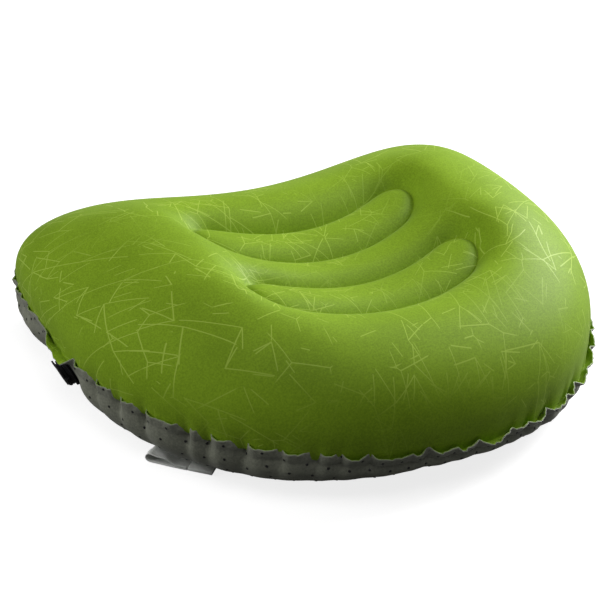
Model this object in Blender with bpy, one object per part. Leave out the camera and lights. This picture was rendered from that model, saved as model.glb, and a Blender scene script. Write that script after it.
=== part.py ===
"""Inflatable camp pillow, as an assembly.

Two coated-fabric panels are welded together round a flat flange. Two sausage-shaped weld loops tie the panels
together through inner baffle walls and leave a hollow for the head. A plug valve sits on the underside at the
left end, and a folded ribbon loop is welded under each front corner.

Frame: X along the pillow, -Y towards the neck, Z up, with the origin under the middle, on the surface below it.
"""
import math

import bmesh
import bpy
import numpy as np
from mathutils import Matrix, Vector
from mathutils.geometry import delaunay_2d_cdt

MM = 0.001

# The pillow's plan
HALF_WIDTH = 180 * MM        # middle to seam, along X
HALF_DEPTH = 150 * MM        # middle to seam, along Y, before the bend
CORNER_POWER = 3.3           # 2 makes an ellipse, more makes squarer corners
KIDNEY_BEND = 73 * MM        # how far the two ends sweep back
FLANGE_WIDTH = 7 * MM        # the welded edge outside the seam

# The panels
SEAM_HEIGHT = 34 * MM        # the welded edge above the ground
PANEL_THICKNESS = 0.8 * MM   # fabric and its coating
GAP = 0.3 * MM               # between pieces that touch
TOP_GAIN = 1.13              # how high the upper side bulges for its span
UNDER_GAIN = 0.75            # how deep the underside bulges for its span
UNDER_ARCH = 0.38            # share by which the front and back rolls are shallower in their middle
OVERHANG = 4.3 * MM          # how far the bulge swells out over the seam
OVERHANG_RISE = 60 * MM      # the rise above the seam where the overhang has ended
SWELL_LEVELS = (0.65, 0.85)  # seam levels where the overhang begins and is whole
BACK_SADDLE = 0.06           # share by which the back roll's crest dips in its middle
SADDLE_WIDTH = 80 * MM       # how far along the rolls their middles reach
ROLL_LEVELS = (0.5, 0.8)     # shares of the half depth where the rolls begin and are whole
GROUND_SNAP = 0.05 * MM      # what lies this close to the ground is put on it

# The weld loops and the baffles between them
LOOP_HALF_LENGTH = 82 * MM
LOOP_HALF_WIDTH = 22 * MM
LOOP_SPACING = 83 * MM       # middle of one loop to the middle of the other
LOOP_BEND = 12 * MM          # extra sweep of the loops' ends
WELD_RISE = 39 * MM          # upper weld above the seam, in the loops' middle
WELD_END_LIFT = 18 * MM      # how much higher the upper weld is at the loops' ends
WELD_SINK = 16 * MM          # lower weld below the seam
BAFFLE_THICKNESS = 0.5 * MM
VENT_HALF_HEIGHT = 5 * MM    # holes that let the air into the loops

# Mesh fineness
SEAM_STEPS = 96
CELL = 13 * MM
INSET_RINGS = (2.5 * MM, 7.5 * MM)
LOOP_END_STEPS = 7
LOOP_SIDE_STEPS = 9
ROUND_STEPS = 32

# The valve, turned about an axis that points out of the panel
VALVE_ANGLE = math.radians(188)       # where it sits round the pillow
VALVE_INSET = 7.5 * MM                # its middle, inside the seam
VALVE_HEIGHT = 18.5 * MM              # its middle, above the ground
VALVE_TILT = math.radians(25)         # how far its axis points down
PATCH_HALF_LENGTH = 30 * MM
PATCH_HALF_HEIGHT = 12.5 * MM
PATCH_THICKNESS = 1.0 * MM
PATCH_MARGIN = 1.2 * MM               # flat fabric round the patch
BASE_RADIUS = 11.6 * MM
BASE_THICKNESS = 1.4 * MM
NECK_RADIUS = 9.6 * MM
NECK_DEPTH = 7.0 * MM                 # below the fabric
NECK_RISE = 1.8 * MM                  # above the base's rim
BORE_RADIUS = 8.3 * MM
PLUG_RADIUS = 7.9 * MM
PLUG_RIM_RADIUS = 9.6 * MM
PLUG_RIM_THICKNESS = 1.4 * MM
PLUG_DEPTH = 6.0 * MM
INLET_RADIUS = 5.2 * MM
SEAL_WIRE_RADIUS = 0.6 * MM
SEAL_REACH = 0.15 * MM                # how far the seal stands out of its groove
SEAL_SQUEEZE = 0.8                    # its width across, squeezed, for its round width
SEAL_STEPS = 8
SPIDER_THICKNESS = 1.2 * MM
SPIDER_RING = 1.2 * MM
SPIDER_BAR = 1.4 * MM
SPIDER_INSET = 0.4 * MM               # the spider, above the plug's inner end
FLAP_THICKNESS = 0.6 * MM
FLAP_LAP = 1.2 * MM                   # the flap, past the inlet's edge
FLAP_STEPS = 24
CAP_RADIUS = 8.0 * MM
CAP_THICKNESS = 1.4 * MM
CAP_PLUG_DEPTH = 2.4 * MM
FIT = 0.3 * MM                        # radial clearance of the valve's pieces
LUG_REACH = 11.4 * MM                 # the plug's lug, from the valve's axis
STRAP_WIDTH = 5.0 * MM
STRAP_THICKNESS = 1.0 * MM
TAB_LENGTH = 9.0 * MM
JOIN_OVERLAP = 1.5 * MM               # how far a lug or tab runs into the body it grows from
JOIN_STEP = 0.1 * MM                  # keeps the faces of two joined bodies out of one plane
TETHER_DROP = 6.0 * MM                # length of the plug strap's bend down to the patch
TETHER_FOOT = 6.0 * MM                # its flat end on the patch
TETHER_KNEE = 1.0 * MM                # how round its two bends are

# The ribbon loops, each on a stiff anchor under a front corner
RIBBON_WIDTH = 12 * MM
RIBBON_THICKNESS = 0.8 * MM
RIBBON_REACH = 24 * MM                # anchor to the middle of the fold
EYE_HEIGHT = 5.2 * MM
PLY_GAP = 0.2 * MM                    # between the two plies at the anchor
FOLD_STEPS = 8
ANCHOR_LENGTH = 16 * MM
ANCHOR_THICKNESS = 2.2 * MM
ANCHOR_PLACE = (132 * MM, -76 * MM)   # middle of an anchor, to the side and to the front
RIBBON_HEADING = math.radians(135)    # the left ribbon's way, from +X towards +Y
ROOF_LENGTH = 14 * MM                 # fabric that may rest on the ribbon, ahead of the anchor
ROOF_SLOPE = 0.45                     # the ribbon's rise for its length there
ROOF_FALL = 0.8                       # slope of the fabric down to the ground beside the ribbon


def clear_scene():
    for old in list(bpy.data.objects):
        bpy.data.objects.remove(old, do_unlink=True)


def smooth_step(low, high, value):
    """Go from 0 to 1 as value goes from low to high."""
    share = np.clip((value - low) / (high - low), 0, 1)
    return share * share * (3 - 2 * share)


# ---- Plan of the pillow -------------------------------------------------------------------------------------

def seam_point(angle, growth=0.0):
    """Point of the unbent seam at an angle round it, moved out by growth."""
    across = math.cos(angle)
    along = math.sin(angle)
    power = CORNER_POWER
    reach = (abs(across) ** power + abs(along) ** power) ** (-1 / power)
    point = Vector((HALF_WIDTH * reach * across, HALF_DEPTH * reach * along))
    return point * (1 + growth / point.length)


def seam_ring(growth=0.0):
    return [seam_point(2 * math.pi * step / SEAM_STEPS, growth) for step in range(SEAM_STEPS)]


def bend_offset(across):
    return KIDNEY_BEND * (across / HALF_WIDTH) ** 2


def bend_middle():
    """Y of the middle of the bent flange, which goes to the frame's origin."""
    bent = [point.y + bend_offset(point.x) for point in seam_ring(FLANGE_WIDTH)]
    return (min(bent) + max(bent)) / 2


PLAN_MIDDLE = bend_middle()


def bend(point):
    """Unbent plan point to the pillow's frame."""
    return Vector((point[0], point[1] + bend_offset(point[0]) - PLAN_MIDDLE))


def unbend(point):
    """The pillow's frame to the unbent plan."""
    return Vector((point[0], point[1] - bend_offset(point[0]) + PLAN_MIDDLE))


def loop_ring(side):
    """Unbent plan points round one weld loop; side is 1 at the back and -1 at the front."""
    straight = LOOP_HALF_LENGTH - LOOP_HALF_WIDTH
    ring = []
    for end in (1, -1):
        for step in range(LOOP_END_STEPS + 1):
            turn = math.pi * (step / LOOP_END_STEPS - 0.5)
            reach = straight + LOOP_HALF_WIDTH * math.cos(turn)
            ring.append((end * reach, end * LOOP_HALF_WIDTH * math.sin(turn)))
        for step in range(1, LOOP_SIDE_STEPS):
            ring.append((end * straight * (1 - 2 * step / LOOP_SIDE_STEPS), end * LOOP_HALF_WIDTH))
    middle = side * LOOP_SPACING / 2
    return [Vector((u, v + middle + LOOP_BEND * (u / HALF_WIDTH) ** 2)) for u, v in ring]


def weld_rise(point):
    """Rise of the upper weld above the seam at a plan point of a loop."""
    return WELD_RISE + WELD_END_LIFT * (point[0] / LOOP_HALF_LENGTH) ** 2


# ---- Inflated panels ----------------------------------------------------------------------------------------

def inside(point, ring):
    """Whether a plan point lies inside a closed ring."""
    crossings = 0
    for start, end in zip(ring, ring[1:] + ring[:1]):
        if (start[1] > point[1]) != (end[1] > point[1]):
            cut = start[0] + (point[1] - start[1]) * (end[0] - start[0]) / (end[1] - start[1])
            crossings += cut > point[0]
    return crossings % 2 == 1


def spread_points(rings, blocked):
    """Plan points on a triangular grid and on rings along the seam, clear of the rings and blocked outlines."""
    row_pitch = CELL * math.sqrt(3) / 2
    columns = int(HALF_WIDTH / CELL) + 1
    rows = int(HALF_DEPTH / row_pitch) + 1
    grid = []
    for row in range(-rows, rows + 1):
        for column in range(-columns, columns + 1):
            grid.append(Vector(((column + 0.5 * (row % 2)) * CELL, row * row_pitch)))
    limit = seam_ring(-INSET_RINGS[-1] - 0.5 * CELL)
    grid = [point for point in grid if inside(point, limit)]
    along_seam = [point for inset in INSET_RINGS for point in seam_ring(-inset)]
    taken = np.array([tuple(point) for ring in rings[1:] for point in ring])
    kept = []
    for point, clearance in [(p, 0.6 * CELL) for p in grid] + [(p, 0.3 * CELL) for p in along_seam]:
        if np.hypot(taken[:, 0] - point.x, taken[:, 1] - point.y).min() < clearance:
            continue
        if any(inside(point, outline) for outline in blocked):
            continue
        kept.append(point)
    return kept


def cut_pattern(welds, flats=(), hole=None):
    """Triangulate the panel's plan.

    Each weld and flat is (ring, height held at each of its points); no free point lies inside a flat's ring.
    """
    seam = seam_ring()
    rings = [seam] + [ring for ring, _ in (*welds, *flats)]
    heights = [0.0] * len(seam) + [height for _, ring_heights in (*welds, *flats) for height in ring_heights]
    points = [point for ring in rings for point in ring]
    edges = []
    start = 0
    for ring in rings:
        edges += [(start + step, start + (step + 1) % len(ring)) for step in range(len(ring))]
        start += len(ring)
    free = spread_points(rings, [ring for ring, _ in flats])
    heights += [None] * len(free)
    plan, _, faces, sources, _, _ = delaunay_2d_cdt(points + free, edges, [], 0, 1e-7)
    held = {}
    for index, source in enumerate(sources):
        if heights[source[0]] is not None:
            held[index] = heights[source[0]]
    triangles = []
    for face in faces:
        middle = sum((plan[index] for index in face), Vector((0, 0))) / 3
        if hole is None or not inside(middle, hole):
            triangles.append(tuple(face))
    return plan, triangles, held


def inflate(plan, triangles, held, gain):
    """Heights of a taut panel over its plan: the square of the height follows the membrane equation."""
    count = len(plan)
    place = np.array([tuple(point) for point in plan])
    stiffness = np.zeros((count, count))
    load = np.zeros(count)
    for triangle in triangles:
        index = list(triangle)
        corners = place[index]
        opposite = np.roll(corners, -1, axis=0) - np.roll(corners, 1, axis=0)
        area = abs(opposite[0, 0] * opposite[1, 1] - opposite[0, 1] * opposite[1, 0]) / 2
        stiffness[np.ix_(index, index)] += opposite @ opposite.T / (4 * area)
        load[index] += 2 * area / 3
    squares = np.zeros(count)
    for index, height in held.items():
        squares[index] = (height / gain) ** 2
    free = np.array([index for index in range(count) if index not in held])
    load -= stiffness @ squares
    squares[free] = np.linalg.solve(stiffness[np.ix_(free, free)], load[free])
    return gain * np.sqrt(np.maximum(squares, 0))


def seam_level(point):
    """0 in the middle of the unbent plan and 1 on the seam."""
    power = CORNER_POWER
    return (abs(point.x / HALF_WIDTH) ** power + abs(point.y / HALF_DEPTH) ** power) ** (1 / power)


def swell(point, height, rise_limit):
    """Bent plan place of a panel's point: near the seam the bulge leans out over it."""
    bulge = math.sin(math.pi * min(height / rise_limit, 1))
    lean = OVERHANG * bulge * smooth_step(*SWELL_LEVELS, seam_level(point))
    return bend(point * (1 + lean / max(point.length, MM)))


def panel_solid(name, places, triangles, seam_z, color):
    """A panel from its inner surface: the flange is added outside the seam and the wall grows outwards."""
    mesh = bmesh.new()
    verts = [mesh.verts.new(place) for place in places]
    for triangle in triangles:
        mesh.faces.new([verts[index] for index in triangle])
    rim = [edge for edge in mesh.edges if edge.is_boundary and edge.verts[0].co.z == seam_z
           and edge.verts[1].co.z == seam_z]
    grown = bmesh.ops.extrude_edge_only(mesh, edges=rim)["geom"]
    for vert in (item for item in grown if isinstance(item, bmesh.types.BMVert)):
        flat = unbend(vert.co.xy)
        flange = bend(flat * (1 + FLANGE_WIDTH / flat.length))
        vert.co.xy = flange
    bmesh.ops.recalc_face_normals(mesh, faces=mesh.faces)
    up_is_out = name == "top_panel"
    middle_face = max(mesh.faces, key=lambda face: abs(face.normal.z))
    if (middle_face.normal.z > 0) != up_is_out:
        bmesh.ops.reverse_faces(mesh, faces=mesh.faces)
    bmesh.ops.solidify(mesh, geom=mesh.faces[:], thickness=-PANEL_THICKNESS)
    for vert in mesh.verts:
        if vert.co.z < GROUND_SNAP:
            vert.co.z = 0.0
    bmesh.ops.triangulate(mesh, faces=mesh.faces)
    bmesh.ops.recalc_face_normals(mesh, faces=mesh.faces)
    return add_object(name, mesh, color, roughness=0.6)


def roll_middle(point, width):
    """1 in the middle of the front and back rolls, 0 at the pillow's ends and between the loops."""
    return math.exp(-(point.x / width) ** 2) * smooth_step(*ROLL_LEVELS, abs(point.y) / HALF_DEPTH)


def make_top_panel(color):
    welds = [(loop_ring(side), [weld_rise(point) for point in loop_ring(side)]) for side in (1, -1)]
    plan, triangles, held = cut_pattern(welds)
    heights = inflate(plan, triangles, held, TOP_GAIN)
    seam_z = SEAM_HEIGHT + GAP / 2
    places = []
    for point, height in zip(plan, heights):
        dip = 1 - BACK_SADDLE * roll_middle(point, SADDLE_WIDTH) * (point.y > 0)
        places.append((*swell(point, height, OVERHANG_RISE), seam_z + height * dip))
    return panel_solid("top_panel", places, triangles, float(np.float32(seam_z)), color)


# ---- The valve's and the anchors' own frames ----------------------------------------------------------------

def valve_frame():
    """Matrix of the valve: X along the seam to the front, Y up the slope, Z out of the panel."""
    seam = bend(seam_point(VALVE_ANGLE))
    ahead = bend(seam_point(VALVE_ANGLE + 0.02))
    along = (ahead - seam).normalized()
    outward = Vector((along.y, -along.x))
    middle = seam - outward * VALVE_INSET
    x_axis = Vector((along.x, along.y, 0))
    z_axis = Vector((outward.x * math.cos(VALVE_TILT), outward.y * math.cos(VALVE_TILT), -math.sin(VALVE_TILT)))
    y_axis = z_axis.cross(x_axis)
    frame = Matrix((x_axis, y_axis, z_axis)).transposed().to_4x4()
    frame.translation = Vector((middle.x, middle.y, VALVE_HEIGHT))
    return frame


def anchor_frame(side):
    """Matrix of a ribbon's anchor: X along the ribbon, Z up, at the ground; side is -1 left and 1 right."""
    heading = Vector((math.cos(RIBBON_HEADING), math.sin(RIBBON_HEADING), 0))
    if side > 0:
        heading.x = -heading.x
    y_axis = Vector((0, 0, 1)).cross(heading)
    frame = Matrix((heading, y_axis, Vector((0, 0, 1)))).transposed().to_4x4()
    frame.translation = Vector((side * ANCHOR_PLACE[0], ANCHOR_PLACE[1], 0))
    return frame


def plane_ring(frame, outline, height=0.0):
    """Plan points and world heights of an outline drawn in a frame's XY plane."""
    placed = [frame @ Vector((x, y, height)) for x, y in outline]
    return [unbend(point.xy) for point in placed], [point.z for point in placed]


def oval(half_length, half_height, steps=ROUND_STEPS):
    turns = [2 * math.pi * step / steps for step in range(steps)]
    return [(half_length * math.cos(turn), half_height * math.sin(turn)) for turn in turns]


def box_outline(back, front, width, steps=3):
    """Points round a rectangle from -back to front along X."""
    corners = [(-back, -width / 2), (front, -width / 2), (front, width / 2), (-back, width / 2)]
    outline = []
    for start, end in zip(corners, corners[1:] + corners[:1]):
        for step in range(steps):
            share = step / steps
            outline.append((start[0] + (end[0] - start[0]) * share, start[1] + (end[1] - start[1]) * share))
    return outline


ANCHOR_TOP = GAP + ANCHOR_THICKNESS + GAP     # outer face of the fabric above an anchor


def anchor_roof(side):
    """Plan points of the fabric over an anchor and its ribbon, held at the anchor's height over the anchor."""
    back = ANCHOR_LENGTH / 2 + PATCH_MARGIN
    outline = box_outline(back, back + ROOF_LENGTH, RIBBON_WIDTH + 2 * PATCH_MARGIN, 4)
    ring, heights = plane_ring(anchor_frame(side), outline, ANCHOR_TOP + PANEL_THICKNESS)
    return ring, [height if along < back + MM else None for height, (along, across) in zip(heights, outline)]


def ribbon_clearance(place):
    """Least height of the fabric over the ribbons at a place in the pillow's frame."""
    lowest = PANEL_THICKNESS
    back = ANCHOR_LENGTH / 2 + PATCH_MARGIN
    half = RIBBON_WIDTH / 2 + PATCH_MARGIN
    for side in (-1, 1):
        local = anchor_frame(side).inverted() @ Vector((place[0], place[1], 0))
        ahead = min(max(local.x, -back), back + RIBBON_REACH)
        outside = math.hypot(local.x - ahead, max(abs(local.y) - half, 0))
        roof = ANCHOR_TOP + PANEL_THICKNESS + ROOF_SLOPE * min(max(ahead - back, 0), ROOF_LENGTH)
        lowest = max(lowest, roof - ROOF_FALL * outside)
    return lowest


def make_bottom_panel(color):
    seam_z = SEAM_HEIGHT - GAP / 2
    welds = [(loop_ring(side), [WELD_SINK] * len(loop_ring(side))) for side in (1, -1)]
    frame = valve_frame()
    patch = oval(PATCH_HALF_LENGTH + PATCH_MARGIN, PATCH_HALF_HEIGHT + PATCH_MARGIN)
    neck_hole = oval(NECK_RADIUS + FIT, NECK_RADIUS + FIT)
    placed = [plane_ring(frame, patch, -PANEL_THICKNESS), plane_ring(frame, neck_hole, -PANEL_THICKNESS)]
    placed += [anchor_roof(side) for side in (-1, 1)]
    flats = []
    for ring, heights in placed:
        flats.append((ring, [None if height is None else seam_z - height for height in heights]))
    plan, triangles, held = cut_pattern(welds, flats, hole=flats[1][0])
    depths = inflate(plan, triangles, held, UNDER_GAIN)
    depths = [depth * (1 - UNDER_ARCH * roll_middle(point, SADDLE_WIDTH)) for point, depth in zip(plan, depths)]
    places = []
    for index, (point, depth) in enumerate(zip(plan, depths)):
        place = bend(point) if index in held else swell(point, depth, SEAM_HEIGHT)
        lowest = PANEL_THICKNESS if index in held else ribbon_clearance(place)
        places.append((*place, max(seam_z - depth, lowest)))
    return panel_solid("bottom_panel", places, triangles, float(np.float32(seam_z)), color)


def make_baffle(name, side, color):
    """A closed ring wall from the lower weld to the upper weld, with vent holes near its ends."""
    mesh = bmesh.new()
    rows = []
    for point in loop_ring(side):
        low = SEAM_HEIGHT - GAP / 2 - WELD_SINK + GAP
        high = SEAM_HEIGHT + GAP / 2 + weld_rise(point) - GAP
        middle = (low + high) / 2
        place = bend(point)
        levels = (low, middle - VENT_HALF_HEIGHT, middle + VENT_HALF_HEIGHT, high)
        rows.append([mesh.verts.new((place.x, place.y, level)) for level in levels])
    vents = (LOOP_END_STEPS // 2, LOOP_END_STEPS + LOOP_SIDE_STEPS + LOOP_END_STEPS // 2)
    for step, (near, far) in enumerate(zip(rows, rows[1:] + rows[:1])):
        for level in range(3):
            if level == 1 and step in vents:
                continue
            mesh.faces.new((near[level], far[level], far[level + 1], near[level + 1]))
    bmesh.ops.recalc_face_normals(mesh, faces=mesh.faces)
    baffle = add_object(name, mesh, color, roughness=0.4)
    wall = baffle.modifiers.new("Wall", "SOLIDIFY")
    wall.thickness = BAFFLE_THICKNESS
    wall.offset = 0
    return baffle


# ---- Objects, materials and turned shapes -------------------------------------------------------------------

def plain_material(name, color, roughness):
    material = bpy.data.materials.new(name)
    material.use_nodes = True
    shader = material.node_tree.nodes["Principled BSDF"]
    shader.inputs["Base Color"].default_value = (*color, 1.0)
    shader.inputs["Roughness"].default_value = roughness
    shader.inputs["Metallic"].default_value = 0.0
    return material


def add_object(name, mesh, color, roughness, parent=None, location=(0, 0, 0)):
    """Finish a bmesh as a named object with its own material."""
    data = bpy.data.meshes.new(name)
    mesh.to_mesh(data)
    mesh.free()
    data.shade_smooth()
    data.set_sharp_from_angle(angle=math.radians(35))
    data.materials.append(plain_material(name, color, roughness))
    item = bpy.data.objects.new(name, data)
    bpy.context.scene.collection.objects.link(item)
    item.parent = parent
    item.location = location
    return item


def add_empty(name, matrix):
    empty = bpy.data.objects.new(name, None)
    bpy.context.scene.collection.objects.link(empty)
    empty.matrix_world = matrix
    return empty


def turned(profile, steps=ROUND_STEPS):
    """A closed body of revolution about Z from a closed profile of (radius, height) points."""
    mesh = bmesh.new()
    verts = [mesh.verts.new((radius, 0, height)) for radius, height in profile]
    edges = [mesh.edges.new((a, b)) for a, b in zip(verts, verts[1:] + verts[:1]) if a.co.x + b.co.x > 1e-7]
    bmesh.ops.spin(mesh, geom=verts + edges, angle=2 * math.pi, steps=steps, axis=(0, 0, 1), use_merge=True)
    bmesh.ops.remove_doubles(mesh, verts=mesh.verts, dist=1e-6)
    bmesh.ops.recalc_face_normals(mesh, faces=mesh.faces)
    return mesh


def plate(outline, low, high):
    """A flat plate between two heights from one closed outline."""
    mesh = bmesh.new()
    face = mesh.faces.new([mesh.verts.new((x, y, low)) for x, y in outline])
    grown = bmesh.ops.extrude_face_region(mesh, geom=[face])["geom"]
    top = [item for item in grown if isinstance(item, bmesh.types.BMVert)]
    bmesh.ops.translate(mesh, vec=(0, 0, high - low), verts=top)
    bmesh.ops.recalc_face_normals(mesh, faces=mesh.faces)
    return mesh


def ring_plate(outer, inner, low, high):
    """A flat plate with a hole, from two outlines of as many points."""
    mesh = bmesh.new()
    outer_verts = [mesh.verts.new((x, y, low)) for x, y in outer]
    inner_verts = [mesh.verts.new((x, y, low)) for x, y in inner]
    count = len(outer)
    faces = []
    for step in range(count):
        after = (step + 1) % count
        quad = (outer_verts[step], outer_verts[after], inner_verts[after], inner_verts[step])
        faces.append(mesh.faces.new(quad))
    grown = bmesh.ops.extrude_face_region(mesh, geom=faces)["geom"]
    top = [item for item in grown if isinstance(item, bmesh.types.BMVert)]
    bmesh.ops.translate(mesh, vec=(0, 0, high - low), verts=top)
    bmesh.ops.recalc_face_normals(mesh, faces=mesh.faces)
    return mesh


def ribbon_body(path, width, thickness):
    """A strap of one thickness along a path of (x, z) points, as wide as width along Y."""
    mesh = bmesh.new()
    edge = [mesh.verts.new((x, -width / 2, z)) for x, z in path]
    edges = [mesh.edges.new(pair) for pair in zip(edge, edge[1:])]
    grown = bmesh.ops.extrude_edge_only(mesh, edges=edges)["geom"]
    far = [item for item in grown if isinstance(item, bmesh.types.BMVert)]
    bmesh.ops.translate(mesh, vec=(0, width, 0), verts=far)
    bmesh.ops.recalc_face_normals(mesh, faces=mesh.faces)
    bmesh.ops.solidify(mesh, geom=mesh.faces[:], thickness=thickness)
    bmesh.ops.recalc_face_normals(mesh, faces=mesh.faces)
    return mesh


def shifted(mesh, offset):
    bmesh.ops.translate(mesh, vec=offset, verts=mesh.verts)
    return mesh


def unite(target, tool):
    """Grow a target by a hidden tool's body."""
    tool.hide_render = True
    tool.display_type = "WIRE"
    step = target.modifiers.new("Union", "BOOLEAN")
    step.operation = "UNION"
    step.object = tool
    return target


# ---- The valve ----------------------------------------------------------------------------------------------

PATCH_LOW = GAP
PATCH_HIGH = PATCH_LOW + PATCH_THICKNESS
BASE_LOW = PATCH_HIGH + GAP
BASE_HIGH = BASE_LOW + BASE_THICKNESS
NECK_TOP = BASE_HIGH + NECK_RISE
RIM_LOW = NECK_TOP + GAP
RIM_HIGH = RIM_LOW + PLUG_RIM_THICKNESS
CAP_LOW = RIM_HIGH + GAP
CAP_HIGH = CAP_LOW + CAP_THICKNESS
SPIDER_LOW = SPIDER_INSET - PLUG_DEPTH
SPIDER_HIGH = SPIDER_LOW + SPIDER_THICKNESS
FLAP_HIGH = -PLUG_DEPTH - GAP
FLAP_RADIUS = INLET_RADIUS + FLAP_LAP
CAP_HINGE_REACH = LUG_REACH + GAP


def make_valve_patch(parent, color):
    outline = oval(PATCH_HALF_LENGTH, PATCH_HALF_HEIGHT)
    hole = oval(NECK_RADIUS + FIT, NECK_RADIUS + FIT)
    mesh = ring_plate(outline, hole, PATCH_LOW, PATCH_HIGH)
    return add_object("valve_patch", mesh, color, 0.35, parent)


def make_valve_base(parent, color):
    profile = [
        (BORE_RADIUS, NECK_TOP), (BORE_RADIUS, -NECK_DEPTH), (NECK_RADIUS, -NECK_DEPTH),
        (NECK_RADIUS, BASE_LOW), (BASE_RADIUS, BASE_LOW), (BASE_RADIUS, BASE_HIGH),
        (NECK_RADIUS, BASE_HIGH), (NECK_RADIUS, NECK_TOP),
    ]
    return add_object("valve_base", turned(profile), color, 0.35, parent)


def make_dump_plug(parent, color):
    seal_middle = -PLUG_DEPTH / 2
    groove = PLUG_RADIUS - 2 * SEAL_WIRE_RADIUS
    groove_half = SEAL_WIRE_RADIUS + GAP
    inner = INLET_RADIUS + FIT
    ledge = SPIDER_HIGH + GAP
    profile = [
        (INLET_RADIUS, RIM_HIGH), (INLET_RADIUS, ledge), (inner + FIT, ledge), (inner + FIT, -PLUG_DEPTH),
        (PLUG_RADIUS, -PLUG_DEPTH), (PLUG_RADIUS, seal_middle - groove_half),
        (groove, seal_middle - groove_half), (groove, seal_middle + groove_half),
        (PLUG_RADIUS, seal_middle + groove_half), (PLUG_RADIUS, RIM_LOW),
        (PLUG_RIM_RADIUS, RIM_LOW), (PLUG_RIM_RADIUS, RIM_HIGH),
    ]
    plug = add_object("dump_plug", turned(profile), color, 0.35, parent)
    half = STRAP_WIDTH / 2
    root = PLUG_RIM_RADIUS - JOIN_OVERLAP
    outline = [(root, -half), (LUG_REACH, -half), (LUG_REACH, half), (root, half)]
    lug_mesh = plate(outline, RIM_LOW + JOIN_STEP, RIM_HIGH - JOIN_STEP)
    lug = add_object("lug_tool", lug_mesh, color, 0.35, parent)
    return unite(plug, lug)


def make_plug_seal(parent, color):
    middle = -PLUG_DEPTH / 2
    radius = PLUG_RADIUS - SEAL_WIRE_RADIUS + SEAL_REACH
    across = SEAL_WIRE_RADIUS * SEAL_SQUEEZE
    wire = [(radius + x, middle + z) for x, z in oval(across, SEAL_WIRE_RADIUS, SEAL_STEPS)]
    return add_object("plug_seal", turned(wire), color, 0.5, parent)


def make_flap_spider(parent, color):
    """A ring with two crossed bars, which the flap closes on."""
    outer = INLET_RADIUS + FIT
    inner = outer - SPIDER_RING
    profile = [(inner, SPIDER_HIGH), (inner, SPIDER_LOW), (outer, SPIDER_LOW), (outer, SPIDER_HIGH)]
    spider = add_object("flap_spider", turned(profile), color, 0.4, parent)
    reach = (inner + outer) / 2
    half = SPIDER_BAR / 2
    cross = [
        (reach, -half), (reach, half), (half, half), (half, reach), (-half, reach), (-half, half),
        (-reach, half), (-reach, -half), (-half, -half), (-half, -reach), (half, -reach), (half, -half),
    ]
    bars_mesh = plate(cross, SPIDER_LOW + JOIN_STEP, SPIDER_HIGH - JOIN_STEP)
    bars = add_object("spider_tool", bars_mesh, color, 0.4, parent)
    return unite(spider, bars)


def make_check_flap(parent, color):
    """A round silicone flap, hinged at its edge, with its origin on the hinge."""
    outline = [(x, y + FLAP_RADIUS) for x, y in oval(FLAP_RADIUS, FLAP_RADIUS, FLAP_STEPS)]
    mesh = plate(outline, -FLAP_THICKNESS, 0)
    return add_object("check_flap", mesh, color, 0.5, parent, (0, -FLAP_RADIUS, FLAP_HIGH))


def make_valve_cap(parent, color):
    """The inlet's cap with its pull tab, with its origin on the hinge at the plug's lug."""
    plug_radius = INLET_RADIUS - FIT
    plug_low = CAP_LOW - GAP - CAP_PLUG_DEPTH
    profile = [(0, plug_low), (plug_radius, plug_low), (plug_radius, CAP_LOW), (CAP_RADIUS, CAP_LOW),
               (CAP_RADIUS, CAP_HIGH), (0, CAP_HIGH)]
    hinge = Vector((CAP_HINGE_REACH, 0, CAP_LOW))
    cap = add_object("valve_cap", shifted(turned(profile), -hinge), color, 0.35, parent, hinge)
    root = CAP_RADIUS - JOIN_OVERLAP
    half = STRAP_WIDTH / 2
    tip = CAP_RADIUS + TAB_LENGTH
    outline = [(-root, half), (-tip + half, half), (-tip, half / 2), (-tip, -half / 2), (-tip + half, -half),
               (-root, -half)]
    tab_mesh = shifted(plate(outline, CAP_LOW + JOIN_STEP, CAP_HIGH - 2 * JOIN_STEP), -hinge)
    tab = add_object("tab_tool", tab_mesh, color, 0.35, parent, hinge)
    return unite(cap, tab)


def make_cap_tether(parent, color):
    """The short strap that hinges the cap on the plug's lug, with its origin on the hinge."""
    hinge = Vector((CAP_HINGE_REACH, 0, CAP_LOW))
    half = STRAP_WIDTH / 2
    start = CAP_RADIUS + GAP
    end = CAP_HINGE_REACH
    outline = [(start, -half), (end, -half), (end, half), (start, half)]
    mesh = shifted(plate(outline, CAP_LOW, CAP_LOW + STRAP_THICKNESS), -hinge)
    return add_object("cap_tether", mesh, color, 0.4, parent, hinge)


def make_plug_tether(parent, color):
    """The strap from the plug's rim down to the patch."""
    start = PLUG_RIM_RADIUS + GAP
    middle = (RIM_LOW + RIM_HIGH) / 2
    foot = PATCH_HIGH + GAP + STRAP_THICKNESS / 2
    path = [
        (-start, middle), (-start - 0.27 * TETHER_DROP, middle),
        (-start - 0.53 * TETHER_DROP, middle - TETHER_KNEE),
        (-start - 0.73 * TETHER_DROP, foot + TETHER_KNEE), (-start - TETHER_DROP, foot),
        (-start - TETHER_DROP - TETHER_FOOT, foot),
    ]
    mesh = ribbon_body(path, STRAP_WIDTH, STRAP_THICKNESS)
    return add_object("plug_tether", centred_wall(mesh, path), color, 0.4, parent)


def centred_wall(mesh, path):
    """Move a strap that grew to one side so that its path runs through its middle."""
    low = min(vert.co.z for vert in mesh.verts)
    wanted = min(z for x, z in path) - STRAP_THICKNESS / 2
    return shifted(mesh, Vector((0, 0, wanted - low)))


# ---- The ribbon loops ---------------------------------------------------------------------------------------

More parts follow.
